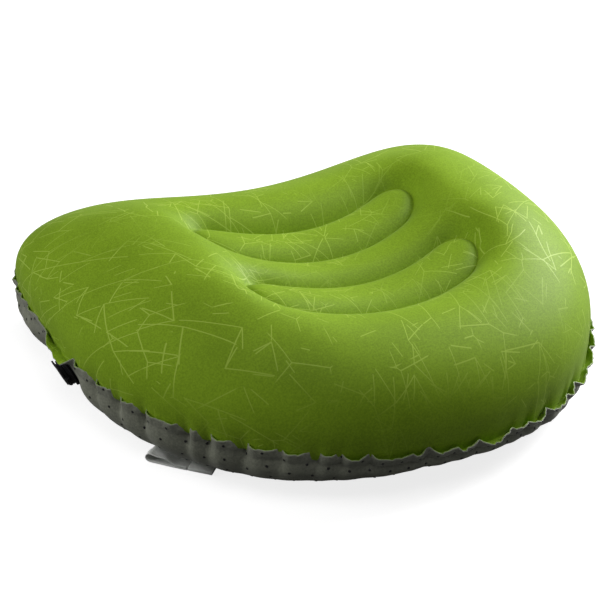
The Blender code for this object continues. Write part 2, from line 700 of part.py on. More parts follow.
def make_ribbon_loop(name, parent, color):
    """A folded ribbon whose two plies meet at the anchor and open into an eye; its origin is on its hinge."""
    half = RIBBON_THICKNESS / 2
    low = GAP + half
    shut = low + RIBBON_THICKNESS + PLY_GAP
    open_high = low + EYE_HEIGHT + RIBBON_THICKNESS
    radius = (open_high - low) / 2
    start = ANCHOR_LENGTH / 2 + GAP
    fold = start + RIBBON_REACH
    lower = [(start, low), (start + 0.4 * RIBBON_REACH, low), (fold, low)]
    bow = []
    for step in range(1, FOLD_STEPS):
        turn = math.pi * (step / FOLD_STEPS - 0.5)
        bow.append((fold + radius * math.cos(turn), low + radius + radius * math.sin(turn)))
    upper = [(fold, open_high), (start + 0.6 * RIBBON_REACH, low + 0.72 * (open_high - low)),
             (start + 0.3 * RIBBON_REACH, shut + 3 * PLY_GAP), (start, shut)]
    mesh = ribbon_body(lower + bow + upper, RIBBON_WIDTH, RIBBON_THICKNESS)
    lowest = min(vert.co.z for vert in mesh.verts)
    hinge = Vector((ANCHOR_LENGTH / 2 + GAP / 2, 0, GAP))
    shifted(mesh, Vector((0, 0, GAP - lowest)) - hinge)
    return add_object(name, mesh, color, 0.7, parent, hinge)


def make_loop_anchor(name, parent, color):
    outline = box_outline(ANCHOR_LENGTH / 2, ANCHOR_LENGTH / 2, RIBBON_WIDTH, 1)
    return add_object(name, plate(outline, GAP, GAP + ANCHOR_THICKNESS), color, 0.7, parent)


def main():
    clear_scene()
    green = (0.20, 0.37, 0.03)
    grey = (0.10, 0.11, 0.085)
    clear_grey = (0.55, 0.57, 0.53)
    black = (0.012, 0.012, 0.013)
    silicone = (0.35, 0.36, 0.35)
    ribbon = (0.42, 0.44, 0.40)
    make_top_panel(green)
    make_bottom_panel(grey)
    make_baffle("baffle_rear", 1, clear_grey)
    make_baffle("baffle_front", -1, clear_grey)
    valve = add_empty("valve_axis", valve_frame())
    make_valve_patch(valve, black)
    make_valve_base(valve, black)
    make_dump_plug(valve, black)
    make_plug_seal(valve, silicone)
    make_flap_spider(valve, black)
    make_check_flap(valve, silicone)
    make_valve_cap(valve, black)
    make_cap_tether(valve, black)
    make_plug_tether(valve, black)
    for side, word in ((-1, "left"), (1, "right")):
        anchor = add_empty("anchor_" + word, anchor_frame(side))
        make_loop_anchor("loop_anchor_" + word, anchor, ribbon)
        make_ribbon_loop("ribbon_loop_" + word, anchor, ribbon)


main()
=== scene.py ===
# %% [markdown]
# # An inflatable camp pillow
# Two panels of coated fabric are welded round their edge and blown up like a cushion. Two sausage-shaped
# welds in the middle hold the panels together and leave a hollow for the head. This lesson dresses the
# working model of the pillow: its fabric, its welded edge, its valve and its ribbons. It starts by
# loading that model as a fixed frame.

# %% Load the frame
import math
import random

import bmesh
import bpy
import numpy as np
from mathutils import Matrix, Vector
from mathutils.bvhtree import BVHTree
from mathutils.geometry import barycentric_transform, delaunay_2d_cdt


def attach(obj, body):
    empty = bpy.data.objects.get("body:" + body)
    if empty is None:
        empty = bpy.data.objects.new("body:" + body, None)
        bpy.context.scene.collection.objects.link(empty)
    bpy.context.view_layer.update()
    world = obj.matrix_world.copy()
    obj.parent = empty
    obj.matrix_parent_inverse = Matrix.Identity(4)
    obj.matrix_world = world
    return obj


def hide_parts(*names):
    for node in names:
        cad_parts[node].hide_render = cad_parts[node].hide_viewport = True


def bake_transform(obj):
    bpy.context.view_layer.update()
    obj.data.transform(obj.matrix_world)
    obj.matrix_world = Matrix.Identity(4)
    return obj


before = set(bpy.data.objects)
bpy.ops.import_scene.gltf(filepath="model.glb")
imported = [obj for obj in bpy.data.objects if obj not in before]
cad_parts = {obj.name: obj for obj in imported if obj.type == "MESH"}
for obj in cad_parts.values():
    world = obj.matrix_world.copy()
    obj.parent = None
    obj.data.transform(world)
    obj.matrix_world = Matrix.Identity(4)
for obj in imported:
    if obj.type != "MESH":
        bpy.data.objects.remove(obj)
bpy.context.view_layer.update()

MM = 0.001
print("frame loaded:", len(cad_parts), "nodes")

# %% [markdown]
# ## Camera, floor and light
# The pillow is seen from its front left, a little from above, through a long lens, which keeps the two
# lobes the same size. The floor is a pale sheet, and the light is a big softbox on the right with weak
# fill from the left, so that every bulge turns from light to dark slowly, as inflated fabric does.

# %% Camera
AIM = Vector((-0.0219, 0.0005, 0.050))
CAMERA_AZIMUTH = math.radians(-28.4)
CAMERA_ELEVATION = math.radians(29.2)
CAMERA_DISTANCE = 1.193
CAMERA_ROLL = math.radians(1.7)
CAMERA_ANGLE = math.radians(19.26)


def direction(azimuth, elevation):
    """Unit vector from the pillow towards a camera or a lamp. Azimuth 0 is its front, 90 its right."""
    flat = math.cos(elevation)
    return Vector((math.sin(azimuth) * flat, -math.cos(azimuth) * flat, math.sin(elevation)))


def place_object(name, data):
    """Put a mesh, a lamp or a camera into the scene at the origin."""
    item = bpy.data.objects.new(name, data)
    bpy.context.scene.collection.objects.link(item)
    return item


camera_data = bpy.data.cameras.new("camera")
camera_data.angle = CAMERA_ANGLE
camera = place_object("camera", camera_data)
away = direction(CAMERA_AZIMUTH, CAMERA_ELEVATION)
turn = away.to_track_quat("Z", "Y").to_matrix().to_4x4() @ Matrix.Rotation(CAMERA_ROLL, 4, "Z")
camera.matrix_world = Matrix.Translation(AIM + away * CAMERA_DISTANCE) @ turn
bpy.context.scene.camera = camera
print("camera stands", round(CAMERA_DISTANCE, 2), "m away")


# %% Node helpers
def feed(tree, socket, value):
    """Link a socket to an input, or set the input to a number or a colour."""
    if isinstance(value, bpy.types.NodeSocket):
        tree.links.new(value, socket)
    else:
        socket.default_value = value


def add_node(tree, kind, values=None, **settings):
    """Add a shader node, set its properties by keyword and feed its inputs by name or number."""
    node = tree.nodes.new(kind)
    for key, value in settings.items():
        setattr(node, key, value)
    for socket, value in (values or {}).items():
        feed(tree, node.inputs[socket], value)
    return node


def new_material(name, color, roughness, **sockets):
    """A Principled material; returns it with its tree and its shader."""
    material = bpy.data.materials.new(name)
    material.use_nodes = True
    shader = material.node_tree.nodes["Principled BSDF"]
    shader.inputs["Base Color"].default_value = (*color, 1)
    shader.inputs["Roughness"].default_value = roughness
    for socket, value in sockets.items():
        shader.inputs[socket.replace("_", " ")].default_value = value
    return material, material.node_tree, shader


def math_node(tree, operation, *values):
    """The result of a Math node whose inputs are sockets or numbers."""
    return add_node(tree, "ShaderNodeMath", dict(enumerate(values)), operation=operation).outputs[0]


def mix_colors(tree, factor, first, second):
    """Mix two colours, each a tuple or a socket."""
    mix = add_node(tree, "ShaderNodeMix", {"Factor": factor}, data_type="RGBA")
    for name, value in (("A", first), ("B", second)):
        target = next(socket for socket in mix.inputs if socket.name == name and socket.type == "RGBA")
        feed(tree, target, (*value, 1) if isinstance(value, tuple) else value)
    return next(socket for socket in mix.outputs if socket.type == "RGBA")


print("node helpers are ready")


# %% Floor, world and softboxes
FLOOR_SIZE = 12.0
FLOOR_SEEN = (0.42, 0.42, 0.42)
FLOOR_BOUNCE = (0.16, 0.16, 0.16)
FLOOR_GLOW = 0.80
WORLD_SEEN = 1.0
WORLD_LIGHT = 0.06
floor_shape = bmesh.new()
bmesh.ops.create_grid(floor_shape, x_segments=1, y_segments=1, size=FLOOR_SIZE / 2)


def mesh_from(name, shape):
    """A mesh with the shape of a finished bmesh, which is freed."""
    data = bpy.data.meshes.new(name)
    shape.to_mesh(data)
    shape.free()
    return data


floor = place_object("floor", mesh_from("floor", floor_shape))
floor_paint, tree, shader = new_material("pale_floor", (0.86, 0.86, 0.86), 0.9)
seen = add_node(tree, "ShaderNodeLightPath").outputs["Is Camera Ray"]
feed(tree, shader.inputs["Base Color"], mix_colors(tree, seen, FLOOR_BOUNCE, FLOOR_SEEN))
shader.inputs["Emission Color"].default_value = (1, 1, 1, 1)
feed(tree, shader.inputs["Emission Strength"], math_node(tree, "MULTIPLY", seen, FLOOR_GLOW))
floor.data.materials.append(floor_paint)

world = bpy.data.worlds.new("studio")
bpy.context.scene.world = world
world.use_nodes = True
sky = world.node_tree
background = sky.nodes["Background"]
background.inputs["Color"].default_value = (1, 1, 1, 1)
seen = add_node(sky, "ShaderNodeLightPath").outputs["Is Camera Ray"]
strength = add_node(sky, "ShaderNodeMapRange", {"Value": seen, "To Min": WORLD_LIGHT, "To Max": WORLD_SEEN})
feed(sky, background.inputs["Strength"], strength.outputs["Result"])
bpy.context.scene.view_settings.view_transform = "Standard"


def softbox(name, azimuth, elevation, distance, size, power, mirrored=True):
    """A square lamp that looks at the pillow; its angles are in degrees and its power in watts."""
    lamp = bpy.data.lights.new(name, "AREA")
    lamp.shape = "SQUARE"
    lamp.size = size
    lamp.energy = power
    item = place_object(name, lamp)
    item.visible_glossy = mirrored
    toward = direction(math.radians(azimuth), math.radians(elevation))
    turned = toward.to_track_quat("Z", "Y").to_matrix().to_4x4()
    item.matrix_world = Matrix.Translation(AIM + toward * distance) @ turned


softbox("key", azimuth=102, elevation=28, distance=1.6, size=1.0, power=46)
softbox("rim", azimuth=-118, elevation=20, distance=2.0, size=1.6, power=26, mirrored=False)
softbox("top", azimuth=-30, elevation=72, distance=2.0, size=1.2, power=11)
print("floor, world and three softboxes are up")

# %% [markdown]
# ## The pillow's plan
# Seen from above, the pillow is a rounded rectangle whose two ends sweep back, like a kidney. It is drawn
# straight first, as a superellipse, and every point is then moved back by the square of its place along
# the pillow. These are the model's own driving sizes, so the fabric lands where the model's panels are.

# %% Driving sizes
HALF_WIDTH = 180 * MM
HALF_DEPTH = 150 * MM
CORNER_POWER = 3.3
KIDNEY_BEND = 73 * MM
FLANGE_WIDTH = 7 * MM
SEAM_HEIGHT = 34 * MM
PANEL_THICKNESS = 0.8 * MM
GAP = 0.3 * MM
TOP_GAIN = 1.13
UNDER_GAIN = 0.75
UNDER_ARCH = 0.38
OVERHANG = 4.3 * MM
OVERHANG_RISE = 60 * MM
SWELL_LEVELS = (0.65, 0.85)
BACK_SADDLE = 0.06
SADDLE_WIDTH = 80 * MM
ROLL_LEVELS = (0.5, 0.8)
LOOP_HALF_LENGTH = 82 * MM
LOOP_HALF_WIDTH = 22 * MM
LOOP_SPACING = 83 * MM
LOOP_BEND = 12 * MM
WELD_RISE = 39 * MM
WELD_END_LIFT = 18 * MM
WELD_SINK = 16 * MM
print("the flat pillow is", round(2000 * HALF_WIDTH), "by", round(2000 * HALF_DEPTH), "mm without its edge")


# %% Plan functions
def smooth_step(low, high, value):
    """Go from 0 to 1 as value goes from low to high."""
    share = np.clip((value - low) / (high - low), 0, 1)
    return share * share * (3 - 2 * share)


def superellipse(turns):
    """Points of the straight plan's outline at angles in radians."""
    across, along = np.cos(turns), np.sin(turns)
    reach = (abs(across) ** CORNER_POWER + abs(along) ** CORNER_POWER) ** (-1 / CORNER_POWER)
    return np.stack([HALF_WIDTH * reach * across, HALF_DEPTH * reach * along], axis=1)


def bend_offset(across):
    """How far the kidney's bend moves a place back."""
    return KIDNEY_BEND * (across / HALF_WIDTH) ** 2


def plan_middle():
    """Y of the middle of the bent flange, which lies on the frame's origin."""
    turns = 96
    ring = superellipse(2 * math.pi * np.arange(turns) / turns)
    ring *= 1 + FLANGE_WIDTH / np.linalg.norm(ring, axis=1, keepdims=True)
    bent = ring[:, 1] + bend_offset(ring[:, 0])
    return (bent.min() + bent.max()) / 2


PLAN_MIDDLE = plan_middle()


def bend(points):
    """Straight plan points to the pillow's frame."""
    return np.stack([points[:, 0], points[:, 1] + bend_offset(points[:, 0]) - PLAN_MIDDLE], axis=1)


def unbend(points):
    """The pillow's frame to straight plan points."""
    return np.stack([points[:, 0], points[:, 1] - bend_offset(points[:, 0]) + PLAN_MIDDLE], axis=1)


def outward_normals(ring):
    """Unit normals of a closed ring that runs anticlockwise, pointing out of it."""
    along = np.roll(ring, -1, axis=0) - np.roll(ring, 1, axis=0)
    normal = np.stack([along[:, 1], -along[:, 0]], axis=1)
    return normal / np.linalg.norm(normal, axis=1, keepdims=True)


SEAM_STEPS = 600


def even_seam():
    """Seam points at even steps along the bent seam, with the seam's length."""
    fine = superellipse(np.linspace(0, 2 * math.pi, 6001))
    steps = np.linalg.norm(np.diff(bend(fine), axis=0), axis=1)
    travelled = np.concatenate([[0], np.cumsum(steps)])
    stops = travelled[-1] * np.arange(SEAM_STEPS) / SEAM_STEPS
    return np.stack([np.interp(stops, travelled, fine[:, k]) for k in (0, 1)], axis=1), travelled[-1]


SEAM, SEAM_LENGTH = even_seam()
SEAM_NORMALS = outward_normals(SEAM)
BENT_SEAM = bend(SEAM)
BENT_NORMALS = outward_normals(BENT_SEAM)
SEAM_ARCS = SEAM_LENGTH * np.arange(SEAM_STEPS) / SEAM_STEPS
SEAM_BEARINGS = np.degrees(np.unwrap(np.arctan2(BENT_SEAM[:, 1], BENT_SEAM[:, 0])))
print("the seam is", round(SEAM_LENGTH * 1000), "mm round")


def arc_at(bearing):
    """Distance along the seam at a bearing in degrees: 0 is right, 90 back, 180 left and 270 front."""
    start = SEAM_BEARINGS[0]
    turned = (np.asarray(bearing, float) - start) % 360 + start
    return np.interp(turned, np.append(SEAM_BEARINGS, start + 360), np.append(SEAM_ARCS, SEAM_LENGTH))


def loop_ring(side, spacing, growth=0.0):
    """Straight plan points round one weld loop, grown outwards; side is 1 at the back and -1 in front."""
    straight = LOOP_HALF_LENGTH - LOOP_HALF_WIDTH
    radius = LOOP_HALF_WIDTH + growth
    ends = max(6, round(math.pi * LOOP_HALF_WIDTH / spacing))
    sides = max(4, round(2 * straight / spacing))
    ring = []
    for end in (1, -1):
        for step in range(ends + 1):
            turn = math.pi * (step / ends - 0.5)
            ring.append((end * (straight + radius * math.cos(turn)), end * radius * math.sin(turn)))
        for step in range(1, sides):
            ring.append((end * straight * (1 - 2 * step / sides), end * radius))
    ring = np.array(ring)
    ring[:, 1] += side * LOOP_SPACING / 2 + LOOP_BEND * (ring[:, 0] / HALF_WIDTH) ** 2
    return ring


def weld_rise(points):
    """Height of the upper weld over the seam, which climbs towards the loops' ends."""
    return WELD_RISE + WELD_END_LIFT * (points[:, 0] / LOOP_HALF_LENGTH) ** 2


# %% [markdown]
# ## The welded edge's own life
# Round the pillow the two fabrics are welded flat, and that flat edge is longer than the bulging panels
# want it to be. So it gathers: every couple of centimetres the edge folds inwards in a short sharp pleat,
# and between pleats the air pushes it out in a soft scallop. A list of pleats along the seam, each with
# its own place, depth and width, gives every piece that meets the edge the same pleats.

# %% Pleats and curl
random.seed(31)
SHOWN_PLEATS = (175.5, 184, 191.5, 199, 210, 215, 223)    # bearings of the deep pleats beside the valve
PLEAT_PITCH = (12 * MM, 25 * MM)
PLEAT_RISE_LENGTH = 5.6 * MM
PLEAT_FALL_LENGTH = 2.1 * MM
PLEAT_DEPTH = 7.5 * MM
PLEAT_ROUNDING = 0.2
DEEP_SHARE = (0.85, 1.0)
LOOSE_SHARE = (0.35, 0.9)


def place_pleats():
    """(arc, depth share) of every pleat: the deep ones first, and then on round the seam at random steps."""
    pleats = [(float(arc_at(bearing)), random.uniform(*DEEP_SHARE)) for bearing in SHOWN_PLEATS]
    arc = pleats[-1][0] + random.uniform(*PLEAT_PITCH)
    while arc < pleats[0][0] + SEAM_LENGTH - PLEAT_PITCH[0]:
        pleats.append((arc % SEAM_LENGTH, random.uniform(*LOOSE_SHARE)))
        arc += random.uniform(*PLEAT_PITCH)
    return pleats


PLEATS = place_pleats()

# Bearing in degrees; slope of the edge above the horizontal where it leaves the seam and at its rim, in
# degrees; how much the seam sits below the model's, in millimetres; and how deep the pleats are, as a
# share.
EDGE_PLAN = (
    (0, 50, 74, 1, 0.5), (15, 40, 65, 0, 0.5), (40, 15, 45, 0, 0.6), (90, 20, 55, 0, 0.7),
    (135, 30, 70, 0, 0.8), (148, 55, 85, 0, 0.7), (161, 65, 90, 0, 0.35), (167, 20, -10, 0, 0.25),
    (172, 0, -35, 0, 0.3), (175, 50, 75, 0, 0.6), (180, 74, 88, 0, 0.9), (200, 74, 86, 1.5, 1.0),
    (232, 72, 84, 4, 1.0), (250, 50, 72, 6, 0.8), (270, 36, 54, 8, 0.7), (300, 30, 48, 9, 0.7),
    (325, 30, 55, 8, 0.6), (340, 52, 76, 5, 0.5), (360, 50, 74, 1, 0.5),
)
EDGE_BLUR = 7                             # seam steps
WANDER_RATES = (0.7, 1.0, 1.35, 1.8)      # waves of each kind in one length
WANDER_LIMIT = 2.2


def edge_value(column):
    """One column of the edge's plan at every seam step, with its corners blurred."""
    bearings = SEAM_BEARINGS % 360
    value = np.interp(bearings, [row[0] for row in EDGE_PLAN], [row[column] for row in EDGE_PLAN])
    kernel = np.hanning(EDGE_BLUR + 2)[1:-1]
    wide = np.concatenate([value[-EDGE_BLUR:], value, value[:EDGE_BLUR]])
    return np.convolve(wide, kernel / kernel.sum(), mode="same")[EDGE_BLUR:-EDGE_BLUR]


START_SLOPE, RIM_SLOPE, SEAM_DROP, PLEAT_SHARE = (edge_value(column) for column in (1, 2, 3, 4))
SEAM_DROP = SEAM_DROP * MM


def wander(arcs, length, seed):
    """Smooth random waves of about one length along the seam, from about -1 to 1."""
    dice = random.Random(seed)
    total = np.zeros(np.shape(arcs))
    for rate in WANDER_RATES:
        waves = max(1, round(rate * SEAM_LENGTH / length))
        total += np.sin(2 * math.pi * (waves * arcs / SEAM_LENGTH + dice.random()))
    return total / WANDER_LIMIT


def gathered(arcs, spread=0.0):
    """How far a pleat pulls in at a place along the seam, from 0 to 1; spread widens the pleats."""
    total = np.zeros(np.shape(arcs))
    for pleat, depth in PLEATS:
        apart = (arcs - pleat + SEAM_LENGTH / 2) % SEAM_LENGTH - SEAM_LENGTH / 2
        width = np.where(apart < 0, PLEAT_RISE_LENGTH, PLEAT_FALL_LENGTH) + spread
        away = np.sqrt((apart / width) ** 2 + PLEAT_ROUNDING ** 2)
        total = np.maximum(total, depth * np.exp(PLEAT_ROUNDING - away))
    return total


print("the edge has", len(PLEATS), "pleats")

# %% [markdown]
# ## Panels as blown-up sheets
# An inflated panel is a membrane: the square of its height follows the membrane equation over its plan,
# held at zero on the seam and at the welds' height on the loops. Cloth simulation could find the same
# shape, but it would drift from the model's panels, so the equation is solved on a fine mesh instead, by
# conjugate gradients. The fabric's folds come afterwards.

# %% Fine cut pattern
CELL = 2.9 * MM
THIN_INSETS = (0.04 * MM, 0.16 * MM, 0.36 * MM, 0.64 * MM, 1.0 * MM)
WIDE_INSETS = (1.5 * MM, 2.1 * MM, 2.9 * MM, 3.9 * MM, 5.2 * MM, 6.9 * MM, 9.0 * MM)
FLANGE_STEPS = tuple(FLANGE_WIDTH * step / 7 for step in range(1, 8))
LOOP_OFFSETS = (-3.4 * MM, -1.8 * MM, -0.7 * MM, 0.7 * MM, 1.8 * MM, 3.4 * MM)
LOOP_PITCH = 2.4 * MM
LOOP_CLEARANCE = 0.5 * MM
RING_CLEARANCE = 1.2 * MM
GRID_MARGIN = 0.6 * CELL
GRID_CLEARANCE = 0.55 * CELL
BATCH = 2000


def nearest(points, targets):
    """(distance, index) of the nearest target to each point."""
    distance = np.empty(len(points))
    index = np.empty(len(points), int)
    for start in range(0, len(points), BATCH):
        part = slice(start, start + BATCH)
        apart = ((points[part, None, :] - targets[None, :, :]) ** 2).sum(axis=2)
        index[part] = apart.argmin(axis=1)
        distance[part] = np.sqrt(apart.min(axis=1))
    return distance, index


def inside(points, ring):
    """Whether each plan point lies inside a closed ring."""
    crossings = np.zeros(len(points), int)
    for start, end in zip(ring, np.roll(ring, -1, axis=0)):
        spans = (start[1] > points[:, 1]) != (end[1] > points[:, 1])
        if spans.any():
            cut = start[0] + (points[spans, 1] - start[1]) * (end[0] - start[0]) / (end[1] - start[1])
            crossings[np.flatnonzero(spans)] += cut > points[spans, 0]
    return crossings % 2 == 1


print("the fine grid has cells of", round(CELL * 1000, 1), "mm")


# %% Pattern points
class Pattern:
    """A panel's cut pattern: points, their inset from the seam, their place along it and a held height."""

    def __init__(self):
        self.points, self.inset, self.arc, self.held, self.flat, self.edges = [], [], [], [], [], []

    def add(self, points, inset, arc, held=None, flat=False, ring=False):
        start = len(self.points)
        self.points += list(points)
        self.inset += list(np.broadcast_to(inset, len(points)))
        self.arc += list(np.broadcast_to(arc, len(points)))
        self.held += list(held) if held is not None else [None] * len(points)
        self.flat += [flat] * len(points)
        if ring:
            count = len(points)
            self.edges += [(start + step, start + (step + 1) % count) for step in range(count)]

    def add_free(self, points, held=None, flat=False, ring=False):
        """Points whose inset and arc are measured to the seam."""
        distance, index = nearest(points, SEAM)
        along = np.stack([-SEAM_NORMALS[index, 1], SEAM_NORMALS[index, 0]], axis=1)
        slide = ((points - SEAM[index]) * along).sum(axis=1)
        inset = np.sqrt(np.maximum(distance ** 2 - slide ** 2, 0))
        self.add(points, inset, (SEAM_ARCS[index] + slide) % SEAM_LENGTH, held, flat, ring)

    def close(self):
        """Turn the finished lists into arrays."""
        self.points, self.inset = np.array(self.points), np.array(self.inset)
        self.arc, self.flat = np.array(self.arc), np.array(self.flat)
        print("  a pattern of", len(self.points), "points")


def free_grid(limit_inset):
    """Plan points on a triangular grid, inside the last ring beside the seam."""
    pitch = CELL * math.sqrt(3) / 2
    rows = int(HALF_DEPTH / pitch) + 1
    columns = int(HALF_WIDTH / CELL) + 1
    row, column = np.mgrid[-rows:rows + 1, -columns:columns + 1]
    grid = np.stack([(column + 0.5 * (row % 2)) * CELL, row * pitch], axis=2).reshape(-1, 2)
    return grid[inside(grid, SEAM - SEAM_NORMALS * limit_inset)]


def cut_pattern(welds, flats):
    """A panel's points: flange, seam, rings beside it, weld loops, flat fittings and a free grid."""
    pattern = Pattern()
    for step in reversed(FLANGE_STEPS):
        pattern.add(SEAM + SEAM_NORMALS * step, -step, SEAM_ARCS, ring=True)
    pattern.add(SEAM, 0.0, SEAM_ARCS, held=[0.0] * SEAM_STEPS, ring=True)
    for step in THIN_INSETS:
        pattern.add(SEAM - SEAM_NORMALS * step, step, SEAM_ARCS, ring=step < THIN_INSETS[-1])
    taken = [ring for ring, _ in welds + flats]
    for ring, heights in welds:
        pattern.add_free(ring, held=heights, ring=True)
    for ring, heights in flats:
        pattern.add_free(ring, held=heights, flat=True, ring=True)

    def keep_clear(points, clearance):
        keep = nearest(points, np.concatenate(taken))[0] > clearance
        for ring, _ in flats:
            keep &= ~inside(points, ring)
        return keep

    for step in WIDE_INSETS:
        ring = SEAM - SEAM_NORMALS * step
        keep = keep_clear(ring, RING_CLEARANCE)
        pattern.add(ring[keep], step, SEAM_ARCS[keep])
    beside = [loop_ring(side, LOOP_PITCH, offset) for side in (1, -1) for offset in LOOP_OFFSETS]
    beside = np.concatenate(beside)
    beside = beside[keep_clear(beside, LOOP_CLEARANCE)]
    pattern.add_free(beside)
    grid = free_grid(WIDE_INSETS[-1] + GRID_MARGIN)
    taken.append(beside)
    pattern.add_free(grid[keep_clear(grid, GRID_CLEARANCE)])
    pattern.close()
    return pattern


print("a panel's flange has", len(FLANGE_STEPS), "rings")


# %% Membrane solver
MOST_ROUNDS = 1500
SMALLEST_REST = 1e-16


def triangulate(points, edges, hole=None):
    """Delaunay triangles over plan points: the points used, the source of each, and the triangles."""
    plan, _, faces, sources, _, _ = delaunay_2d_cdt([Vector(point) for point in points], edges, [], 0, 1e-8)
    triangles = np.array([face for face in faces if len(face) == 3])
    plan = np.array([tuple(point) for point in plan])
    if hole is not None:
        triangles = triangles[~inside(plan[triangles].mean(axis=1), hole)]
    return plan, np.array([source[0] for source in sources]), triangles


def solve_membrane(plan, triangles, held, squares):
    """Squares of the height over a taut sheet, by conjugate gradients. Held points keep their squares."""
    corners = plan[triangles]
    opposite = np.roll(corners, -1, axis=1) - np.roll(corners, 1, axis=1)
    cross = opposite[:, 0, 0] * opposite[:, 1, 1] - opposite[:, 0, 1] * opposite[:, 1, 0]
    area = np.maximum(abs(cross) / 2, 1e-14)
    local = np.einsum("mid,mjd->mij", opposite, opposite) / (4 * area)[:, None, None]
    count = len(plan)
    flat_index = triangles.ravel()

    def apply(values):
        pushed = np.einsum("mij,mj->mi", local, values[triangles])
        return np.bincount(flat_index, pushed.ravel(), minlength=count)

    load = np.bincount(flat_index, np.repeat(2 * area / 3, 3), minlength=count)
    scale = np.bincount(flat_index, np.einsum("mii->mi", local).ravel(), minlength=count)
    scale = np.where(scale > 0, scale, 1)
    values = np.where(held, squares, 0.0)
    rest = np.where(held, 0, load - apply(values))
    aim = rest / scale
    step_to = aim.copy()
    power = rest @ aim
    for rounds in range(MOST_ROUNDS):
        moved = np.where(held, 0, apply(step_to))
        share = power / (step_to @ moved)
        values += share * step_to
        rest -= share * moved
        aim = rest / scale
        fresh = rest @ aim
        if fresh < SMALLEST_REST * max(load @ load, 1e-30) or fresh <= 0:
            break
        step_to = aim + (fresh / power) * step_to
        power = fresh
    print("  membrane solved in", rounds + 1, "rounds over", count, "points")
    return np.maximum(values, 0)


def inflate(pattern, gain, hole=None):
    """Heights of every point of a pattern. The thin rings beside the seam follow the first wide ring."""
    points, inset, arcs = pattern.points, pattern.inset, pattern.arc
    held = np.array([height is not None for height in pattern.held])
    squares = np.array([0.0 if height is None else (height / gain) ** 2 for height in pattern.held])
    solved = (inset >= 0) & ((inset == 0) | (inset >= WIDE_INSETS[0]) | held)
    index = np.flatnonzero(solved)
    place_of = {old: new for new, old in enumerate(index)}
    edges = [(place_of[a], place_of[b]) for a, b in pattern.edges if a in place_of and b in place_of]
    plan, source, triangles = triangulate(points[index], edges, hole)
    source = index[source]
    result = np.zeros(len(points))
    result[source] = solve_membrane(plan, triangles, held[source], squares[source])
    first = WIDE_INSETS[0]
    ring = np.flatnonzero(np.isclose(inset, first) & ~held)
    order = ring[np.argsort(arcs[ring])]
    thin = (inset > 0) & (inset < first) & ~held
    beside = np.interp(arcs[thin], arcs[order], result[order], period=SEAM_LENGTH)
    result[thin] = beside * inset[thin] / first
    return gain * np.sqrt(result)


print("the solver stops after", MOST_ROUNDS, "rounds at the latest")

# %% [markdown]
# ## From heights to fabric
# Each plan point now becomes a point in space. Four things move it: the bend of the kidney, the overhang
# where the bulge leans out over the seam, the pleats of the welded edge, and, outside the seam, the curl
# of the edge.

# %% Curl of the edge
PLEAT_REACH = {"top": 6 * MM, "under": 21 * MM}
SEAM_DROP_REACH = {"top": 16 * MM, "under": 20 * MM}
RIM_RISE = 3.6 * MM
START_WANDER = (8, 45 * MM, 5)            # degrees, length of a wave and seed
RIM_WANDER = (12, 30 * MM, 6)
RIM_FLUTTER = (10, 9 * MM, 7)
PLEAT_TURN = 40                           # degrees that the rim leans in at a pleat
PLEAT_SPREAD = 0.3                        # a pleat widens by this share of the way from the seam
PLEAT_BALANCE = 0.35
RIPPLE_DEPTH = 0.25 * MM
RIPPLE_LENGTH = 6 * MM
PLY_OFFSET = 0.42 * MM
SKIN_GROWTH = 2 * MM
FABRIC_WALL = 0.34 * MM
FLAT_BLEND = 16 * MM
DOT_HEIGHT = 0.3 * MM
FLAT_REACH = 60 * MM


def seam_table(values, arcs):
    """Value along the seam at any arcs, from its value at every seam step."""
    return np.interp(arcs, SEAM_ARCS, values, period=SEAM_LENGTH)


def swung(plan):
    """A slope's change at every seam step, in degrees."""
    degrees, length, seed = plan
    return degrees * wander(SEAM_ARCS, length, seed)


def edge_curve():
    """(out, up) of the edge's middle at each flange step and seam step."""
    pull = gathered(SEAM_ARCS) * PLEAT_SHARE
    start = START_SLOPE + swung(START_WANDER)
    rim = RIM_SLOPE + swung(RIM_WANDER) + PLEAT_TURN * pull + swung(RIM_FLUTTER)
    out, up = [], []
    place = np.zeros((2, SEAM_STEPS))
    last = 0.0
    for step in FLANGE_STEPS:
        share = (last + step) / 2 / FLANGE_WIDTH
        slope = np.radians(start + (rim - start) * smooth_step(0, 1, share))
        place = place + (step - last) * np.stack([np.cos(slope), np.sin(slope)])
        last = step
        out.append(place[0].copy())
        up.append(place[1] + RIM_RISE * pull * (step / FLANGE_WIDTH) ** 2)
    return np.array(out), np.array(up)


EDGE_OUT, EDGE_UP = edge_curve()
print("the edge stands up to", round(1000 * float(EDGE_UP.max()), 1), "mm over its seam")


# %% Bulges and pleats
def pleat_shift(arcs, inset, height, reach):
    """How far the pleats move the fabric outwards: in at a pleat and out between two."""
    travelled = np.hypot(np.maximum(inset, 0), height)
    pull = gathered(arcs, PLEAT_SPREAD * travelled)
    fade = np.exp(-travelled / reach)
    ripple = RIPPLE_DEPTH * wander(arcs, RIPPLE_LENGTH, seed=9) * np.exp(-travelled / (0.5 * reach))
    return seam_table(PLEAT_SHARE, arcs) * fade * (PLEAT_DEPTH * (PLEAT_BALANCE - pull) + ripple)


def level(points):
    """0 at the middle of the plan and 1 on the seam."""
    across = abs(points[:, 0] / HALF_WIDTH) ** CORNER_POWER
    along = abs(points[:, 1] / HALF_DEPTH) ** CORNER_POWER
    return (across + along) ** (1 / CORNER_POWER)


def roll_middle(points):
    """1 at the middle of the front and rear rolls, and 0 away from them."""
    beside = np.exp(-(points[:, 0] / SADDLE_WIDTH) ** 2)
    return beside * smooth_step(*ROLL_LEVELS, abs(points[:, 1]) / HALF_DEPTH)


